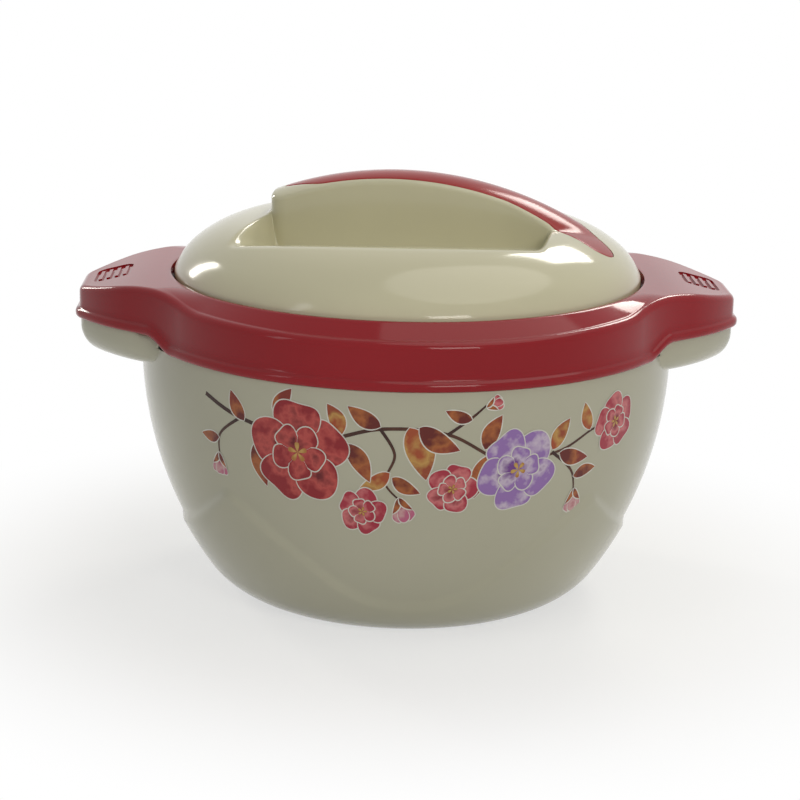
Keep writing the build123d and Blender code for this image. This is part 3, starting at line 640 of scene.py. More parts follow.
def circle_ring(angles, reach, height):
    """One ring of points on a level circle."""
    return ring_at([heading(a) * reach for a in angles], [height] * len(angles))


# %% Outlines of the fin and of the insert
RING = 560
FIN_RAYS = 4000
FIN_MIDDLE = Vector((40.0, -2.0))
MOST_STEPS = 200
NEAR_ENOUGH = 0.001
# The fin's outline is drawn round bars between discs, each given by x, y and radius.
BLUNT_LEFT, BLUNT_RIGHT = (-54.0, 6.7, 7.5), (-54.0, -6.7, 7.5)
WAIST, KNEE, TAIL = (46.0, 0.0, 14.2), (68.0, -4.0, 13.4), (84.0, -17.0, 10.5)
FIN_BARS = [
    (BLUNT_LEFT, WAIST), (BLUNT_RIGHT, WAIST), (BLUNT_RIGHT, BLUNT_LEFT),
    (WAIST, KNEE), (KNEE, TAIL),
]
CREAM_MARGIN = 1.8
INSERT_DISCS = [(-53.0, 0.0, 3.5), (-36.0, 0.0, 10.8)]
INSERT_DISCS += [(x, y, radius - CREAM_MARGIN) for x, y, radius in (WAIST, KNEE, TAIL)]
INSERT_BARS = list(zip(INSERT_DISCS, INSERT_DISCS[1:]))


def bar_distance(spot, bar):
    """Distance to a bar between two discs; less than zero inside it."""
    near, near_radius = Vector(bar[0][:2]), bar[0][2]
    far, far_radius = Vector(bar[1][:2]), bar[1][2]
    span = far - near
    length = span.length
    along = (spot - near).dot(span) / length
    off = abs((spot - near).cross(span)) / length
    lean = (near_radius - far_radius) / length
    up = sqrt(1 - lean * lean)
    foot = along * up - off * lean
    if foot <= 0:
        return (spot - near).length - near_radius
    if foot >= length * up:
        return (spot - far).length - far_radius
    return off * up + along * lean - near_radius


def outline(bars, soften):
    """The outline of some bars from the blunt end, softened, with its outward directions."""
    rough = []
    for step in range(FIN_RAYS):
        way = heading(pi + 2 * pi * step / FIN_RAYS)
        reach = 0.0
        for _ in range(MOST_STEPS):
            depth = -min(bar_distance(FIN_MIDDLE + way * reach, bar) for bar in bars)
            reach += depth
            if depth < NEAR_ENOUGH:
                break
        rough.append(FIN_MIDDLE + way * reach)
    line = averaged(respaced(rough, RING), soften)
    return line, line_normals(line, reach=1)


fin_line, fin_normals = outline(FIN_BARS, soften=5)
insert_line, insert_normals = outline(INSERT_BARS, soften=3)
print("fin from", [round(v, 1) for v in fin_line[0]], "to", round(max(p.x for p in fin_line), 1))

# %% [markdown]
# The dome is three arcs that meet without a bend. Each hollow has a flat floor that slopes down
# towards the fin, and the floor fades into the dome at both ends. The fin's crest is curved along
# and across, and it runs out into the dome at the tail.

# %% Heights over the lid
LID_RADIUS = 104.7
DOME_ARCS = [  # reach where the arc ends, reach and height of its centre, its radius
    (70.0, 0.0, -358.4, 532.0),
    (96.0, 63.16, 117.4, 52.0),
    (LID_RADIUS, 77.68, 135.26, 29.0),
]
HOLLOW_NEAR, HOLLOW_FAR = -59.2, 65.5
NEAR_RAMP, FAR_RAMP = 6.5, 5.0
HOLLOW_FLARE, HOLLOW_WIDTH = 14.5, 52.0
HOLLOW_FLOOR = 153.07
FLOOR_SLOPE, FLOOR_SKEW = radians(13), radians(8)
HOLLOW_EDGE_ROUND = 2.0
CREST_MIDDLE, CREST_CENTRE = -3.0, 28.39
CREST_ALONG, CREST_ACROSS = 162.0, 32.0
CREST_RUNOUT = 1.2


def dome_height(reach):
    """Height of the plain dome."""
    reach = min(reach, LID_RADIUS)
    for end, centre_reach, centre_height, radius in DOME_ARCS:
        if reach <= end:
            return centre_height + sqrt(radius ** 2 - (reach - centre_reach) ** 2)


def hollow_share(x, side):
    """1 inside a finger hollow, 0 outside it, with rounded ends."""
    near = HOLLOW_NEAR - HOLLOW_FLARE * min(side / HOLLOW_WIDTH, 1.0)
    return smooth((x - near) / NEAR_RAMP) * smooth((HOLLOW_FAR - x) / FAR_RAMP)


def lid_height(spot):
    """Height of the dome with its hollows."""
    side = abs(spot.y)
    dome = dome_height(spot.length)
    uphill = spot.x * sin(FLOOR_SKEW) + side * cos(FLOOR_SKEW)
    floor_height = HOLLOW_FLOOR + tan(FLOOR_SLOPE) * uphill
    depth = soft_max(dome - floor_height, 0.0, HOLLOW_EDGE_ROUND)
    return dome - depth * hollow_share(spot.x, side)


def crest_height(spot):
    """Height of the fin's crowned crest, which runs out into the dome."""
    crown = sqrt(CREST_ACROSS ** 2 - min(abs(spot.y), CREST_ACROSS - 1) ** 2)
    curve = CREST_ALONG - CREST_ACROSS + crown
    crest = CREST_CENTRE + sqrt(curve ** 2 - (spot.x - CREST_MIDDLE) ** 2)
    return soft_max(crest, dome_height(spot.length), CREST_RUNOUT)


print("crest at the middle", round(crest_height(Vector((CREST_MIDDLE, 0.0))), 2))

# %% [markdown]
# Four lines lead the rings: the foot of the fillet round the fin, the fin's own outline, its
# brim, and the rim of the pocket, which keeps a small gap round the insert. At the tail the fin
# hardly rises from the dome, so the fillet and the round of the brim shrink there with its
# height. A fillet of one size would stick out of the fin.

# %% Lines that the lid's rings follow
ROOT_FILLET = 2.6
BRIM_ROUND = 1.4
POCKET_GAP = 0.15

ring_angles = [pi + 2 * pi * i / RING for i in range(RING)]
root_line = moved(fin_line, fin_normals, ROOT_FILLET)
brim_line = moved(fin_line, fin_normals, -BRIM_ROUND)
rim_line = moved(insert_line, insert_normals, POCKET_GAP)
pocket_line = []
for spot in brim_line:
    near = min(range(RING), key=lambda k: (insert_line[k] - spot).length_squared)
    pocket_line.append(rim_line[near])
rise = [max(crest_height(p) - lid_height(p), 0.0) for p in fin_line]
softness = [min(r / (ROOT_FILLET + BRIM_ROUND), 1.0) for r in rise]
print("fin rises by up to", round(max(rise), 1), "mm")

# %% Rings of the dome and the hollows
LID_LOW = 138.2
DOME_RING = 101.5
EDGE_ROWS = 6
PASSAGE_ROWS = 100
LID_EDGE = [
    (101.4, 143.0), (101.6, LID_LOW + 0.4), (102.0, LID_LOW),
    (LID_RADIUS - 0.4, LID_LOW), (LID_RADIUS, LID_LOW + 0.4),
]

lid_rings = [circle_ring(ring_angles, reach, height) for reach, height in LID_EDGE]
for step in range(EDGE_ROWS):
    reach = LID_RADIUS - (LID_RADIUS - DOME_RING) * step / EDGE_ROWS
    lid_rings.append(circle_ring(ring_angles, reach, dome_height(reach)))
for step in range(PASSAGE_ROWS + 1):
    share = step / PASSAGE_ROWS
    spots = [(heading(a) * DOME_RING).lerp(p, share) for a, p in zip(ring_angles, root_line)]
    lid_rings.append(ring_at(spots, [lid_height(p) for p in spots]))
print("dome rings", len(lid_rings))

# %% Rings of the fin and its pocket
FILLET_ROWS = 7
BRIM_ROWS = 6
QUARTERS = (0.25, 0.5, 0.75)
CREST_STEPS = (0.25, 0.5, 0.75, 0.95)
POCKET_LIP = 0.2
POCKET_DEPTH = 2.6
POCKET_INNER = 0.1

for step in range(1, FILLET_ROWS + 1):
    off, climb = quarter_round(ROOT_FILLET, step, FILLET_ROWS)
    spots = moved(fin_line, fin_normals, off)
    lid_rings.append(ring_at(spots, [lid_height(p) + climb * s for p, s in zip(spots, softness)]))
for share in QUARTERS:
    heights = []
    for p, soft in zip(fin_line, softness):
        low = lid_height(p) + ROOT_FILLET * soft
        high = crest_height(p) - BRIM_ROUND * soft
        heights.append(low + (high - low) * share)
    lid_rings.append(ring_at(fin_line, heights))
for step in range(BRIM_ROWS + 1):
    drop, off = quarter_round(BRIM_ROUND, step, BRIM_ROWS)
    spots = moved(fin_line, fin_normals, -off)
    lid_rings.append(ring_at(spots, [crest_height(p) - drop * s for p, s in zip(spots, softness)]))
for share in CREST_STEPS:
    spots = [brim.lerp(rim, share) for brim, rim in zip(brim_line, pocket_line)]
    lid_rings.append(ring_at(spots, [crest_height(p) for p in spots]))
for drop in (POCKET_LIP, POCKET_DEPTH):
    lid_rings.append(ring_at(pocket_line, [crest_height(p) - drop for p in pocket_line]))
floor_line = [p.lerp(FIN_MIDDLE, POCKET_INNER) for p in pocket_line]
lid_rings.append(ring_at(floor_line, [crest_height(p) - POCKET_DEPTH for p in floor_line]))
print("lid rings", len(lid_rings))

# %% Lay the lid's skin
LID_TURN = Matrix.Rotation(radians(-9), 3, "Z")


def lid_spot(column, row):
    """Place of one point of the lid's skin, turned with the lid."""
    return LID_TURN @ lid_rings[row][column % RING] * MM


lid_skin = sheet("lid_skin", RING, len(lid_rings) - 1, lid_spot)
lid_skin.data.materials.append(cream_lid_painted_lighter)
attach(lid_skin, "lid")
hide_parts("lid_cover")
print("lid skin", len(lid_skin.data.polygons), "faces")

# %% [markdown]
# The red insert is pressed into the pocket. It follows the same crest, with a small round at
# its rim, so that a thin shadow line parts it from the cream. It could be made of rings like the
# lid, but they would all shrink to a point in the middle and pinch the gloss there. So its mesh
# runs in strips across: each strip joins two facing points of the outline.

# %% Lay the insert
STATIONS = RING // 2
ACROSS = 26
RIM_ROUND, RIM_ROWS = 0.7, 4
INSERT_FOOT = POCKET_DEPTH - 0.1
INSERT_SIDE = 1.6

rim_steps = [(0.0, INSERT_FOOT), (0.0, INSERT_SIDE)]
for step in range(RIM_ROWS + 1):
    rim_drop, rim_off = quarter_round(RIM_ROUND, step, RIM_ROWS)
    rim_steps.append((rim_off, rim_drop))
INSERT_ROWS = 2 * len(rim_steps) + ACROSS - 2
rim_top = moved(insert_line, insert_normals, -RIM_ROUND)


def insert_spot(column, row):
    """Place of one point of the insert: one side, the crest or the other side."""
    left, right = column, (RING - column) % RING
    if row < len(rim_steps):
        off, drop = rim_steps[row]
        spot = insert_line[left] - insert_normals[left] * off
    elif INSERT_ROWS - row < len(rim_steps):
        off, drop = rim_steps[INSERT_ROWS - row]
        spot = insert_line[right] - insert_normals[right] * off
    else:
        drop = 0.0
        spot = rim_top[left].lerp(rim_top[right], (row - len(rim_steps) + 1) / ACROSS)
    return LID_TURN @ Vector((spot.x, spot.y, crest_height(spot) - drop)) * MM


insert_skin = sheet("insert_skin", STATIONS, INSERT_ROWS, insert_spot)
insert_skin.data.materials.append(red_satin)
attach(insert_skin, "lid")
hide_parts("handle_insert")
print("insert", len(insert_skin.data.polygons), "faces")

# %% [markdown]
# ## Collar and ears
# The red collar is one moulding with its two ears. On the real one the shoulder does not stop
# at an ear: it rises over some fifteen degrees into the ear's flat top, and the bead at the
# lower edge curls up with it. A turned ring joined to two plates would have hard corners there.
# The skin is laid in rings again. Each ring goes round the outline of the collar and both ears,
# and the heights pass from shoulder to ear with the angle.

# %% Outline of the collar with its ears
COLLAR_RADIUS = 119.1
EAR_REACH = 146.4
EAR_TIP_HALF = 14.8
EAR_TIP_ROUND = 14.0
EAR_ROOT = Vector((107.44, 51.4))
EAR_FLANK = 88.0
ROOT_BLEND = 11.0
COLLAR_COLUMNS = 960
COLLAR_RAYS = 3600
LEAST_REACH, MOST_REACH = 100.0, 160.0
HALVINGS = 22

ear_tip = Vector((EAR_REACH, EAR_TIP_HALF))
flank_half = (ear_tip - EAR_ROOT) / 2
flank_depth = sqrt(EAR_FLANK ** 2 - flank_half.length_squared) / flank_half.length
flank_centre = ear_tip - flank_half + Vector((flank_half.y, -flank_half.x)) * flank_depth
corner_reach = EAR_REACH - EAR_TIP_ROUND
corner_across = corner_reach - flank_centre.x
corner_up = sqrt((EAR_FLANK - EAR_TIP_ROUND) ** 2 - corner_across ** 2)
ear_corner = Vector((corner_reach, corner_up + flank_centre.y))
corner_turn = atan2(corner_up, corner_across)


def in_ear(spot):
    """Distance to the ear's outline; less than zero inside it."""
    folded = Vector((abs(spot.x), abs(spot.y)))
    corner = folded - ear_corner
    if 0 <= atan2(corner.y, corner.x) <= corner_turn:
        return corner.length - EAR_TIP_ROUND
    return max((folded - flank_centre).length - EAR_FLANK, folded.x - EAR_REACH)


def in_collar(spot):
    """Distance to the whole outline, with a fillet where an ear leaves the round collar."""
    return -soft_max(COLLAR_RADIUS - spot.length, -in_ear(spot), ROOT_BLEND)


rough = []
for step in range(COLLAR_RAYS):
    way = heading(2 * pi * step / COLLAR_RAYS)
    low, high = LEAST_REACH, MOST_REACH
    for _ in range(HALVINGS):
        middle = (low + high) / 2
        if in_collar(way * middle) < 0:
            low = middle
        else:
            high = middle
    rough.append(way * low)
collar_line = respaced(rough, COLLAR_COLUMNS)
collar_normals = line_normals(collar_line, reach=2)
collar_angles = [atan2(p.y, p.x) for p in collar_line]
print("collar reach", round(max(p.x for p in collar_line), 2))

# %% Heights of the collar
SLOPE_START, SLOPE_END = 108.0, 115.7
MOUTH_TOP, SHOULDER_TOP = 145.2, 139.2
BEAD_FOOT, EAR_SEAM = 118.8, 125.0
SHOULDER_LIFT = 1.6
EAR_BEND, EAR_BEND_ROUND = 119.8, 9.0
EAR_SLOPE = 0.2481
EAR_FROM, EAR_BLEND = 40.0, 17.0
LIFT_FROM, LIFT_BLEND = 75.0, 45.0
CURL_FROM, CURL_BLEND = 31.5, 8.0


def toward_ear(spot, start, blend):
    """0 at more than start degrees from the middle of an ear, 1 when nearer by blend degrees."""
    off_ear = degrees(atan2(abs(spot.y), abs(spot.x)))
    return smooth((start - off_ear) / blend)


def collar_top(spot):
    """Height of the collar's upper face."""
    slope = min(max((spot.length - SLOPE_START) / (SLOPE_END - SLOPE_START), 0.0), 1.0)
    shoulder = MOUTH_TOP + (SHOULDER_TOP - MOUTH_TOP) * slope
    shoulder += SHOULDER_LIFT * slope * toward_ear(spot, LIFT_FROM, LIFT_BLEND)
    fall = EAR_SLOPE * (soft_max(abs(spot.x), EAR_BEND, EAR_BEND_ROUND) - EAR_BEND)
    return shoulder + (MOUTH_TOP - fall - shoulder) * toward_ear(spot, EAR_FROM, EAR_BLEND)


def bead_foot(spot):
    """Height of the lower edge: it curls up to the seam of the ear."""
    return BEAD_FOOT + (EAR_SEAM - BEAD_FOOT) * toward_ear(spot, CURL_FROM, CURL_BLEND)


print("ear's tip at", round(collar_top(Vector((EAR_REACH, 0.0))), 2))

# %% Rings of the mouth and the shoulder
MOUTH = 106.2
INNER_REACH, INNER_FOOT = 108.4, 136.0
MOUTH_EDGE = [
    (INNER_REACH, INNER_FOOT), (MOUTH, INNER_FOOT), (MOUTH, MOUTH_TOP - 0.6),
    (MOUTH + 0.2, MOUTH_TOP - 0.1), (MOUTH + 0.7, MOUTH_TOP), (MOUTH + 1.5, MOUTH_TOP),
]
SLOPE_ROWS = 24
SHOULDER_ROUND, SHOULDER_ROWS = 3.2, 7

edge_line = moved(collar_line, collar_normals, -SHOULDER_ROUND)
edge_tops = [collar_top(p) for p in edge_line]
collar_rings = [circle_ring(collar_angles, reach, height) for reach, height in MOUTH_EDGE]
for step in range(1, SLOPE_ROWS + 1):
    share = step / SLOPE_ROWS
    spots = [(heading(a) * SLOPE_START).lerp(p, share) for a, p in zip(collar_angles, edge_line)]
    collar_rings.append(ring_at(spots, [collar_top(p) for p in spots]))
for step in range(1, SHOULDER_ROWS + 1):
    inset, drop = quarter_round(SHOULDER_ROUND, step, SHOULDER_ROWS)
    spots = moved(collar_line, collar_normals, -inset)
    collar_rings.append(ring_at(spots, [top - drop for top in edge_tops]))
print("shoulder rings", len(collar_rings))

# %% Rings of the side, the bead and the inside
BEAD_TOP = 4.8
BEAD = [  # how far out from the collar's side, how far up from the lower edge
    (0.0, BEAD_TOP), (0.3, 4.3), (1.1, 3.9), (1.7, 3.2), (1.9, 2.2), (1.8, 1.0), (1.3, 0.3),
    (0.5, 0.0), (-2.0, 0.0),
]
COLLAR_WALL = 2.2
INSIDE_UP = 4.0
INSIDE_DROP, INSIDE_LOW = 6.5, 130.0

tops = [collar_top(p) for p in collar_line]
feet = [bead_foot(p) for p in collar_line]
for share in QUARTERS:
    heights = []
    for top, foot in zip(tops, feet):
        heights.append((top - SHOULDER_ROUND) * (1 - share) + (foot + BEAD_TOP) * share)
    collar_rings.append(ring_at(collar_line, heights))
for out, up in BEAD:
    spots = moved(collar_line, collar_normals, out)
    collar_rings.append(ring_at(spots, [foot + up for foot in feet]))
inside_line = moved(collar_line, collar_normals, -COLLAR_WALL)
collar_rings.append(ring_at(inside_line, [foot + INSIDE_UP for foot in feet]))
collar_rings.append(ring_at(inside_line, [max(top - INSIDE_DROP, INSIDE_LOW) for top in tops]))
collar_rings.append(circle_ring(collar_angles, INNER_REACH, INNER_FOOT))
print("collar rings", len(collar_rings))

# %% Lay the collar's skin
def collar_spot(column, row):
    """Place of one point of the collar's skin."""
    return collar_rings[row][column % COLLAR_COLUMNS] * MM


collar_skin = sheet("collar_skin", COLLAR_COLUMNS, len(collar_rings) - 1, collar_spot)
collar_skin.data.materials.append(red_gloss)
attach(collar_skin, "pot")
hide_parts("collar_ring")
print("collar", len(collar_skin.data.polygons), "faces")

# %% [markdown]
# Each ear's top has a shallow panel with four ribs, which keeps a wet thumb from slipping. A bump
# texture could draw them, but the panel has real walls that catch the light. It is milled into
# the mould as a rounded pocket that leaves the ribs standing, so here a rounded block loses four
# bars and is then taken out of the ear.

# %% Tools for the rib panels
CORNER_STEPS = 6


def block(name, width, length, height, corner=0.0):
    """A box in millimetres whose upright edges may be rounded."""
    bpy.ops.object.select_all(action="DESELECT")
    bpy.ops.mesh.primitive_cube_add(size=1)
    piece = bpy.context.object
    piece.name = name
    for vertex in piece.data.vertices:
        vertex.co = Vector((vertex.co.x * width, vertex.co.y * length, vertex.co.z * height)) * MM
    if corner > 0:
        bpy.ops.object.mode_set(mode="EDIT")
        bpy.ops.mesh.select_mode(type="EDGE")
        bpy.ops.mesh.select_all(action="DESELECT")
        bpy.ops.object.mode_set(mode="OBJECT")
        for edge in piece.data.edges:
            ends = [piece.data.vertices[k].co for k in edge.vertices]
            edge.select = abs(ends[0].z - ends[1].z) > height * MM / 2
        bpy.ops.object.mode_set(mode="EDIT")
        bpy.ops.mesh.bevel(offset=corner * MM, segments=CORNER_STEPS)
        bpy.ops.object.mode_set(mode="OBJECT")
    return piece


def take_out(piece, cutter):
    """The cutter is taken out of the piece and then removed."""
    cut = piece.modifiers.new("cut", "BOOLEAN")
    cut.operation = "DIFFERENCE"
    cut.solver = "EXACT"
    cut.object = cutter
    cutter.data.update()
    bpy.context.view_layer.update()
    bpy.ops.object.select_all(action="DESELECT")
    bpy.context.view_layer.objects.active = piece
    piece.select_set(True)
    bpy.ops.object.modifier_apply(modifier=cut.name)
    bpy.data.objects.remove(cutter, do_unlink=True)


# %% Cut the rib panels
PANEL_MIDDLE = 132.15
PANEL_WIDTH, PANEL_LENGTH = 16.5, 28.0
PANEL_ROUND = 4.5
PANEL_DEPTH = 0.8
RIBS = 4
RIB_WIDTH, RIB_LENGTH = 1.6, 18.0
RIB_PITCH = 3.7
BAR_HEIGHT = 4.0
EAR_TILT = atan2(EAR_SLOPE, 1.0)

for way in (-1, 1):
    panel = block("panel_cutter", PANEL_WIDTH, PANEL_LENGTH, 2 * PANEL_DEPTH, PANEL_ROUND)
    for k in range(RIBS):
        bar = block("rib_bar", RIB_WIDTH, RIB_LENGTH, BAR_HEIGHT)
        bar.data.transform(Matrix.Translation(((k - (RIBS - 1) / 2) * RIB_PITCH * MM, 0, 0)))
        take_out(panel, bar)
    top = collar_top(Vector((PANEL_MIDDLE, 0)))
    panel.data.transform(Matrix.Rotation(way * EAR_TILT, 4, "Y"))
    panel.data.transform(Matrix.Translation((way * PANEL_MIDDLE * MM, 0, top * MM)))
    take_out(collar_skin, panel)
    print("panel cut, faces now", len(collar_skin.data.polygons))
bpy.context.view_layer.objects.active = collar_skin
collar_skin.select_set(True)
bpy.ops.object.shade_smooth_by_angle(angle=CREASE)
print("collar with ribs", [round(v, 4) for v in collar_skin.dimensions])

# %% [markdown]
# ## Flower print
# The bowl carries a printed garland, a transfer film under a clear coat. A picture wrapped on the
# bowl could give it, but this one is drawn by rules alone: fans for petals, lenses for leaves and
# narrow strips for stems, in a plain garland of five-petalled blossoms. Each shape is a thin
# sheet that follows the wall. Within a leaf or a flower every sheet lies a little above the one
# before, the highest 0.3 mm from the wall, so that no two of them lie in one plane. Petals and
# leaves lie on slightly larger white ones, which leave the fine white outline of such prints.

# %% Inks
WATER_SPOTS = 130
BASE_STOP, MIDDLE_STOP, EDGE_STOP = 0.05, 0.55, 0.98
INK_SMOOTH, INK_DULL = 0.12, 0.17
INK_MIRROR = 0.3


def ink(name, base, middle, edge, mottle):
    """Printed colour that runs from the base of a shape to its edge, with watery spots."""
    material, tree, shader = finish(name)
    uv = tree.nodes.new("ShaderNodeTexCoord")
    split = tree.nodes.new("ShaderNodeSeparateXYZ")
    tree.links.new(uv.outputs["UV"], split.inputs["Vector"])
    drift = spread(tree, noise(tree, WATER_SPOTS, detail=3), -mottle, mottle)
    ramp = tree.nodes.new("ShaderNodeValToRGB")
    ramp.color_ramp.elements[0].position = BASE_STOP
    ramp.color_ramp.elements[0].color = (*base, 1)
    ramp.color_ramp.elements[1].position = EDGE_STOP
    ramp.color_ramp.elements[1].color = (*edge, 1)
    between = ramp.color_ramp.elements.new(MIDDLE_STOP)
    between.color = (*middle, 1)
    tree.links.new(combined(tree, "ADD", split.outputs["X"], drift), ramp.inputs["Fac"])
    tree.links.new(ramp.outputs["Color"], shader.inputs["Base Color"])
    sheen(tree, shader, INK_SMOOTH, INK_DULL, INK_MIRROR)
    return material


INKS = {
    "red": ink("ink_red", (0.14, 0.004, 0.008), (0.50, 0.075, 0.065), (0.28, 0.010, 0.016), 0.55),
    "rose": ink("ink_rose", (0.22, 0.008, 0.02), (0.60, 0.17, 0.18), (0.38, 0.025, 0.05), 0.55),
    "lilac": ink("ink_lilac", (0.16, 0.05, 0.26), (0.56, 0.47, 0.60), (0.29, 0.16, 0.44), 0.6),
    "pink": ink("ink_pink", (0.36, 0.02, 0.10), (0.58, 0.34, 0.34), (0.48, 0.12, 0.22), 0.5),
    "rust": ink("ink_rust", (0.13, 0.012, 0.006), (0.40, 0.12, 0.03), (0.22, 0.025, 0.012), 0.5),
    "gold": ink("ink_gold", (0.36, 0.07, 0.02), (0.52, 0.30, 0.08), (0.30, 0.06, 0.02), 0.5),
    "stem": ink("ink_stem", (0.04, 0.012, 0.008), (0.09, 0.03, 0.015), (0.05, 0.015, 0.01), 0.3),
    "white": ink("ink_white", (0.66, 0.65, 0.60), (0.70, 0.69, 0.64), (0.64, 0.63, 0.58), 0.3),
    "dot": ink("ink_dot", (0.50, 0.26, 0.05), (0.56, 0.36, 0.10), (0.42, 0.18, 0.04), 0.3),
}
print("inks", sorted(INKS))

# %% Print a shape on the wall
ROUND_THE_WALL = 121.0
LIFT_STEP = 0.006
press = {"lift": 0.0, "shapes": 0}


def layer(lift):
    """The next shapes are printed from this height above the wall, in millimetres."""
    press["lift"] = lift


def on_wall(across, height, lift):
    """Place on the panel of the wall: across in millimetres round it from the front."""
    turn = -pi / 2 + across / ROUND_THE_WALL
    lean = (height - WALL_CENTRE.y) / PANEL_CURVE
    out = sqrt(1 - lean * lean)
    reach = WALL_CENTRE.x + PANEL_CURVE * out + lift * out
    return Vector((reach * cos(turn), reach * sin(turn), height + lift * lean)) * MM


def print_sheet(colour, columns, rows, flat):
    """A printed shape; flat(u, v) is its place on the rolled-out wall."""
    lift = press["lift"]

    def place(column, row):
        spot = flat(column / columns, row / rows)
        return on_wall(spot.x, spot.y, lift)

    name = "print_%s_%03d" % (colour, press["shapes"])
    piece = sheet(name, columns, rows, place, closed=False)
    piece.data.materials.append(INKS[colour])
    press["lift"] += LIFT_STEP
    press["shapes"] += 1


# %% Petals and leaves
WHITE_LINE = 0.5
CELL = 1.2
LEAST_PETAL_CELLS, LEAST_LEAF_CELLS = 6, 10
BIG_PETAL = 13
SMALL_ROWS, BIG_ROWS = 16, 34
LEAF_ROWS = 8
CORNER_CUT, CORNER_POWER = 0.42, 3.5
EDGE_WAVES = 5
NARROW_BASE = 0.55
LEAF_BELLY, LEAF_FULL = 0.8, 0.9
TIP_LINE, TIP_RUN = 0.8, 6


def petal(colour, base, turn, length, half_angle, wave, edge=True):
    """A fan from its base, with rounded corners and a slightly wavy edge."""
    def fan(grow):
        def flat(u, v):
            side = 2 * v - 1
            reach = 1 - CORNER_CUT * abs(side) ** CORNER_POWER + wave * cos(EDGE_WAVES * side + turn)
            opening = (NARROW_BASE + (1 - NARROW_BASE) * sqrt(u)) * (1 + grow / length)
            swing = radians(turn) + side * radians(half_angle) * opening
            return base + heading(swing) * (reach * length + grow) * u
        return flat

    cells = max(LEAST_PETAL_CELLS, round(length / CELL))
    rows = SMALL_ROWS if length < BIG_PETAL else BIG_ROWS
    if edge:
        print_sheet("white", cells, rows, fan(WHITE_LINE))
    print_sheet(colour, cells, rows, fan(0.0))


def leaf(colour, base, turn, length, width, bow):
    """A lens from base to tip, bowed to one side."""
    way = heading(radians(turn))
    side_way = Vector((-way.y, way.x))

    def lens(grow):
        def flat(u, v):
            side = 2 * v - 1
            half = width / 2 * sin(pi * u ** LEAF_BELLY) ** LEAF_FULL
            half += grow * min(1, TIP_RUN * u, TIP_RUN * (1 - u))
            along = (length + 2 * TIP_LINE * grow) * u - TIP_LINE * grow
            return base + way * along + side_way * (bow * length * sin(pi * u) + side * half)
        return flat

    cells = max(LEAST_LEAF_CELLS, round(length / CELL))
    print_sheet("white", cells, LEAF_ROWS, lens(WHITE_LINE))
    print_sheet(colour, cells, LEAF_ROWS, lens(0.0))


# %% Stems
STEM_CELLS, STEM_ROWS = 14, 2
STEM_TAPER = 0.5
MAIN_WIDTH, TWIG_WIDTH = 1.9, 1.5


def along_spline(line, u):
    """Place and run of a smooth line that passes through all its spots."""
    walk = u * (len(line) - 1)
    at = min(int(walk), len(line) - 2)
    t = walk - at
    before, after = line[max(at - 1, 0)], line[min(at + 2, len(line) - 1)]
    start, end = line[at], line[at + 1]
    pull, push = (end - before) / 2, (after - start) / 2
    spot = start * (2 * t ** 3 - 3 * t ** 2 + 1) + end * (3 * t ** 2 - 2 * t ** 3)
    spot += pull * (t ** 3 - 2 * t ** 2 + t) + push * (t ** 3 - t ** 2)
    run = start * (6 * t * t - 6 * t) + end * (6 * t - 6 * t * t)
    run += pull * (3 * t * t - 4 * t + 1) + push * (3 * t * t - 2 * t)
    return spot, run.normalized()


def stem(spots, width=TWIG_WIDTH):
    """A narrow strip along a smooth line, thinner towards its end."""
    line = [Vector(s) for s in spots]

    def flat(u, v):
        spot, run = along_spline(line, u)
        return spot + Vector((-run.y, run.x)) * (v - 0.5) * width * (1 - STEM_TAPER * u)

    print_sheet("stem", STEM_CELLS * len(line), STEM_ROWS, flat)


# %% Blossoms and buds
FLOWER_LIFT = 0.16
PETALS = 5
# A ring of petals has a reach as a share of the flower, half a petal's angle as a share of one
# petal's turn, the depth of the wave at the edge, and a shift in petals.
OUTER_RING = (1.0, 0.62, 0.05, 0.0)
INNER_RING = (0.55, 0.55, 0.04, 0.5)
HEART_REACH, HEART_OPENING = 0.2, 0.3
BUD_SEAT, BUD_OPENING, BUD_WAVE = 0.2, 24, 0.03
BUD_LEANS = (-20, 20, 0)
SEPAL_LENGTH, SEPAL_WIDTH = 0.85, 0.26
SEPAL_LEAN, SEPAL_BOW = 34, 0.08


def blossom(colour, middle, radius, turn):
    """An open flower: an outer ring of petals, a smaller inner ring and a dotted heart."""
    layer(FLOWER_LIFT)
    middle = Vector(middle)
    step = 360 / PETALS
    for reach, opening, wave, shift in (OUTER_RING, INNER_RING):
        for k in range(PETALS):
            petal(colour, middle, turn + (k + shift) * step, radius * reach, step * opening, wave)
    for k in range(PETALS):
        heart_turn = turn + k * step
        petal("dot", middle, heart_turn, radius * HEART_REACH, step * HEART_OPENING, 0.0, edge=False)


def bud(colour, base, turn, size):
    """A closed flower: three narrow petals held by two sepals."""
    layer(FLOWER_LIFT)
    base = Vector(base)
    seat = base + heading(radians(turn)) * size * BUD_SEAT
    for lean in BUD_LEANS:
        petal(colour, seat, turn + lean, size, BUD_OPENING, BUD_WAVE)
    for side in (-1, 1):
        lean, bow = side * SEPAL_LEAN, -side * SEPAL_BOW
        leaf("rust", base, turn + lean, size * SEPAL_LENGTH, size * SEPAL_WIDTH, bow)
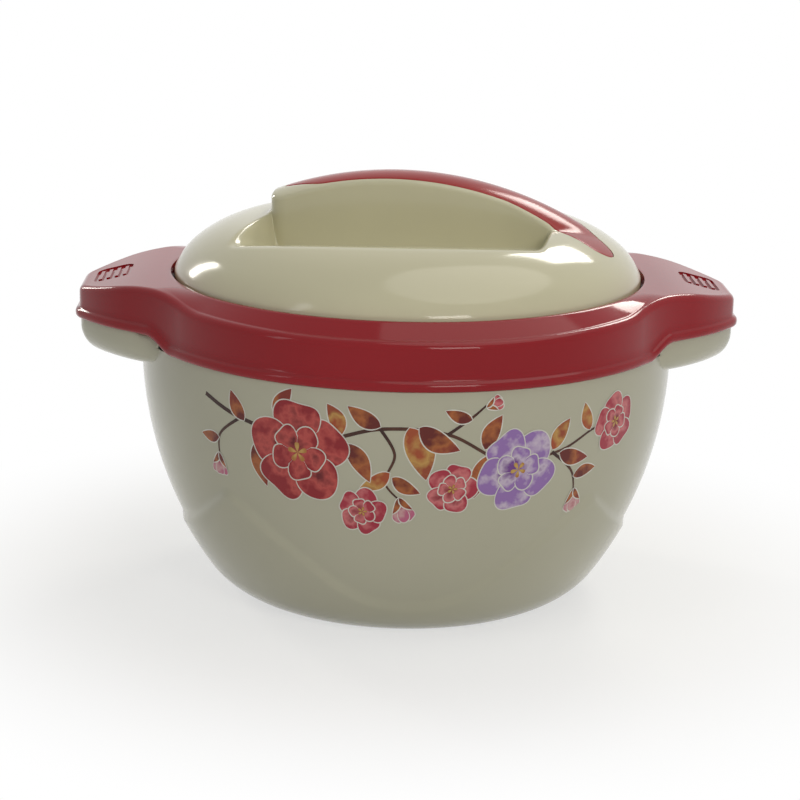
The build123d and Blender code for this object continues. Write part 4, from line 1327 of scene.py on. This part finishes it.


# %% [markdown]
# The garland is drawn as a list, in millimetres on the rolled-out wall: across from the
# middle of the front, and up from the foot. Stems are printed lowest, then leaves, then flowers,
# so that each kind covers the ones below it.

# %% Print the stems and the leaves
STEM_LIFT = 0.05
LEAF_LIFT, LEAF_STEP, LEAF_LAYERS = 0.08, 0.012, 6
MAIN_STEM = [
    (-98, 108), (-78, 101), (-44, 96), (-14, 103), (14, 101), (40, 88), (66, 90), (84, 97), (97, 98),
]
LEAVES = [  # ink, base, turn in degrees, length, width, bow
    ("rust", (-60, 104), 60, 15, 7, 0.06), ("gold", (-30, 100), 118, 14, 7, -0.06),
    ("rust", (-28, 96), -60, 19, 8, 0.05), ("gold", (-2, 104), -72, 24, 12, 0.06),
    ("rust", (2, 104), -30, 20, 9, -0.08), ("rust", (-14, 104), 150, 16, 7, 0.05),
    ("gold", (-10, 84), -150, 15, 6.5, 0.07), ("rust", (-9, 82), -30, 14, 6, -0.07),
    ("rust", (30, 94), 64, 16, 7.5, 0.06), ("rust", (34, 92), -110, 21, 9, -0.06),
    ("gold", (62, 91), 58, 15, 7, 0.05), ("rust", (66, 89), -14, 17, 7, -0.06),
    ("rust", (76, 77), 10, 13, 5.5, 0.06), ("gold", (82, 97), 108, 13, 6, 0.05),
    ("rust", (-76, 100), 120, 14, 6.5, 0.06), ("rust", (-70, 92), -80, 20, 8, -0.05),
    ("rust", (-91, 90), 180, 11, 5, 0.05), ("rust", (24, 107), 160, 12, 5, 0.05),
]

layer(STEM_LIFT)
stem(MAIN_STEM, MAIN_WIDTH)
stem([(-14, 103), (-8, 92), (-12, 80), (-6, 72)])
stem([(14, 101), (24, 108), (30, 113)])
stem([(62, 90), (74, 80), (78, 70)])
stem([(-78, 101), (-90, 92), (-92, 82)])
for number, (colour, base, turn, length, width, bow) in enumerate(LEAVES):
    layer(LEAF_LIFT + LEAF_STEP * (number % LEAF_LAYERS))
    leaf(colour, Vector(base), turn, length, width, bow)
print("stems and leaves", press["shapes"], "shapes")

# %% Print the flowers
bud("pink", (-6, 73), -75, 9.5)
bud("pink", (78, 71), -82, 9)
bud("pink", (-92, 83), -98, 8.5)
bud("rose", (30, 112), 20, 6)
blossom("red", (-50, 90), 22, 20)
blossom("lilac", (46, 84), 18, 50)
blossom("rose", (17, 77), 11, 0)
blossom("rose", (98, 98), 12.5, 30)
blossom("rose", (-22, 66), 10.5, 75)
print("the last petal lies", round(press["lift"] - LIFT_STEP, 3), "mm above the wall")

# %% [markdown]
# The printed shapes are joined to one piece that rides with the bowl. It is a film on the wall,
# not a moulding, so it takes no plastic's slot.

# %% Join the print
shapes = [o for o in bpy.context.scene.objects if o.name.startswith("print_")]
bpy.ops.object.select_all(action="DESELECT")
for shape in shapes:
    shape.select_set(True)
bpy.context.view_layer.objects.active = shapes[0]
bpy.ops.object.join()
garland = bpy.context.object
garland.name = "flower_print"
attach(garland, "pot")
print("garland of", len(shapes), "shapes,", len(garland.data.polygons), "faces")
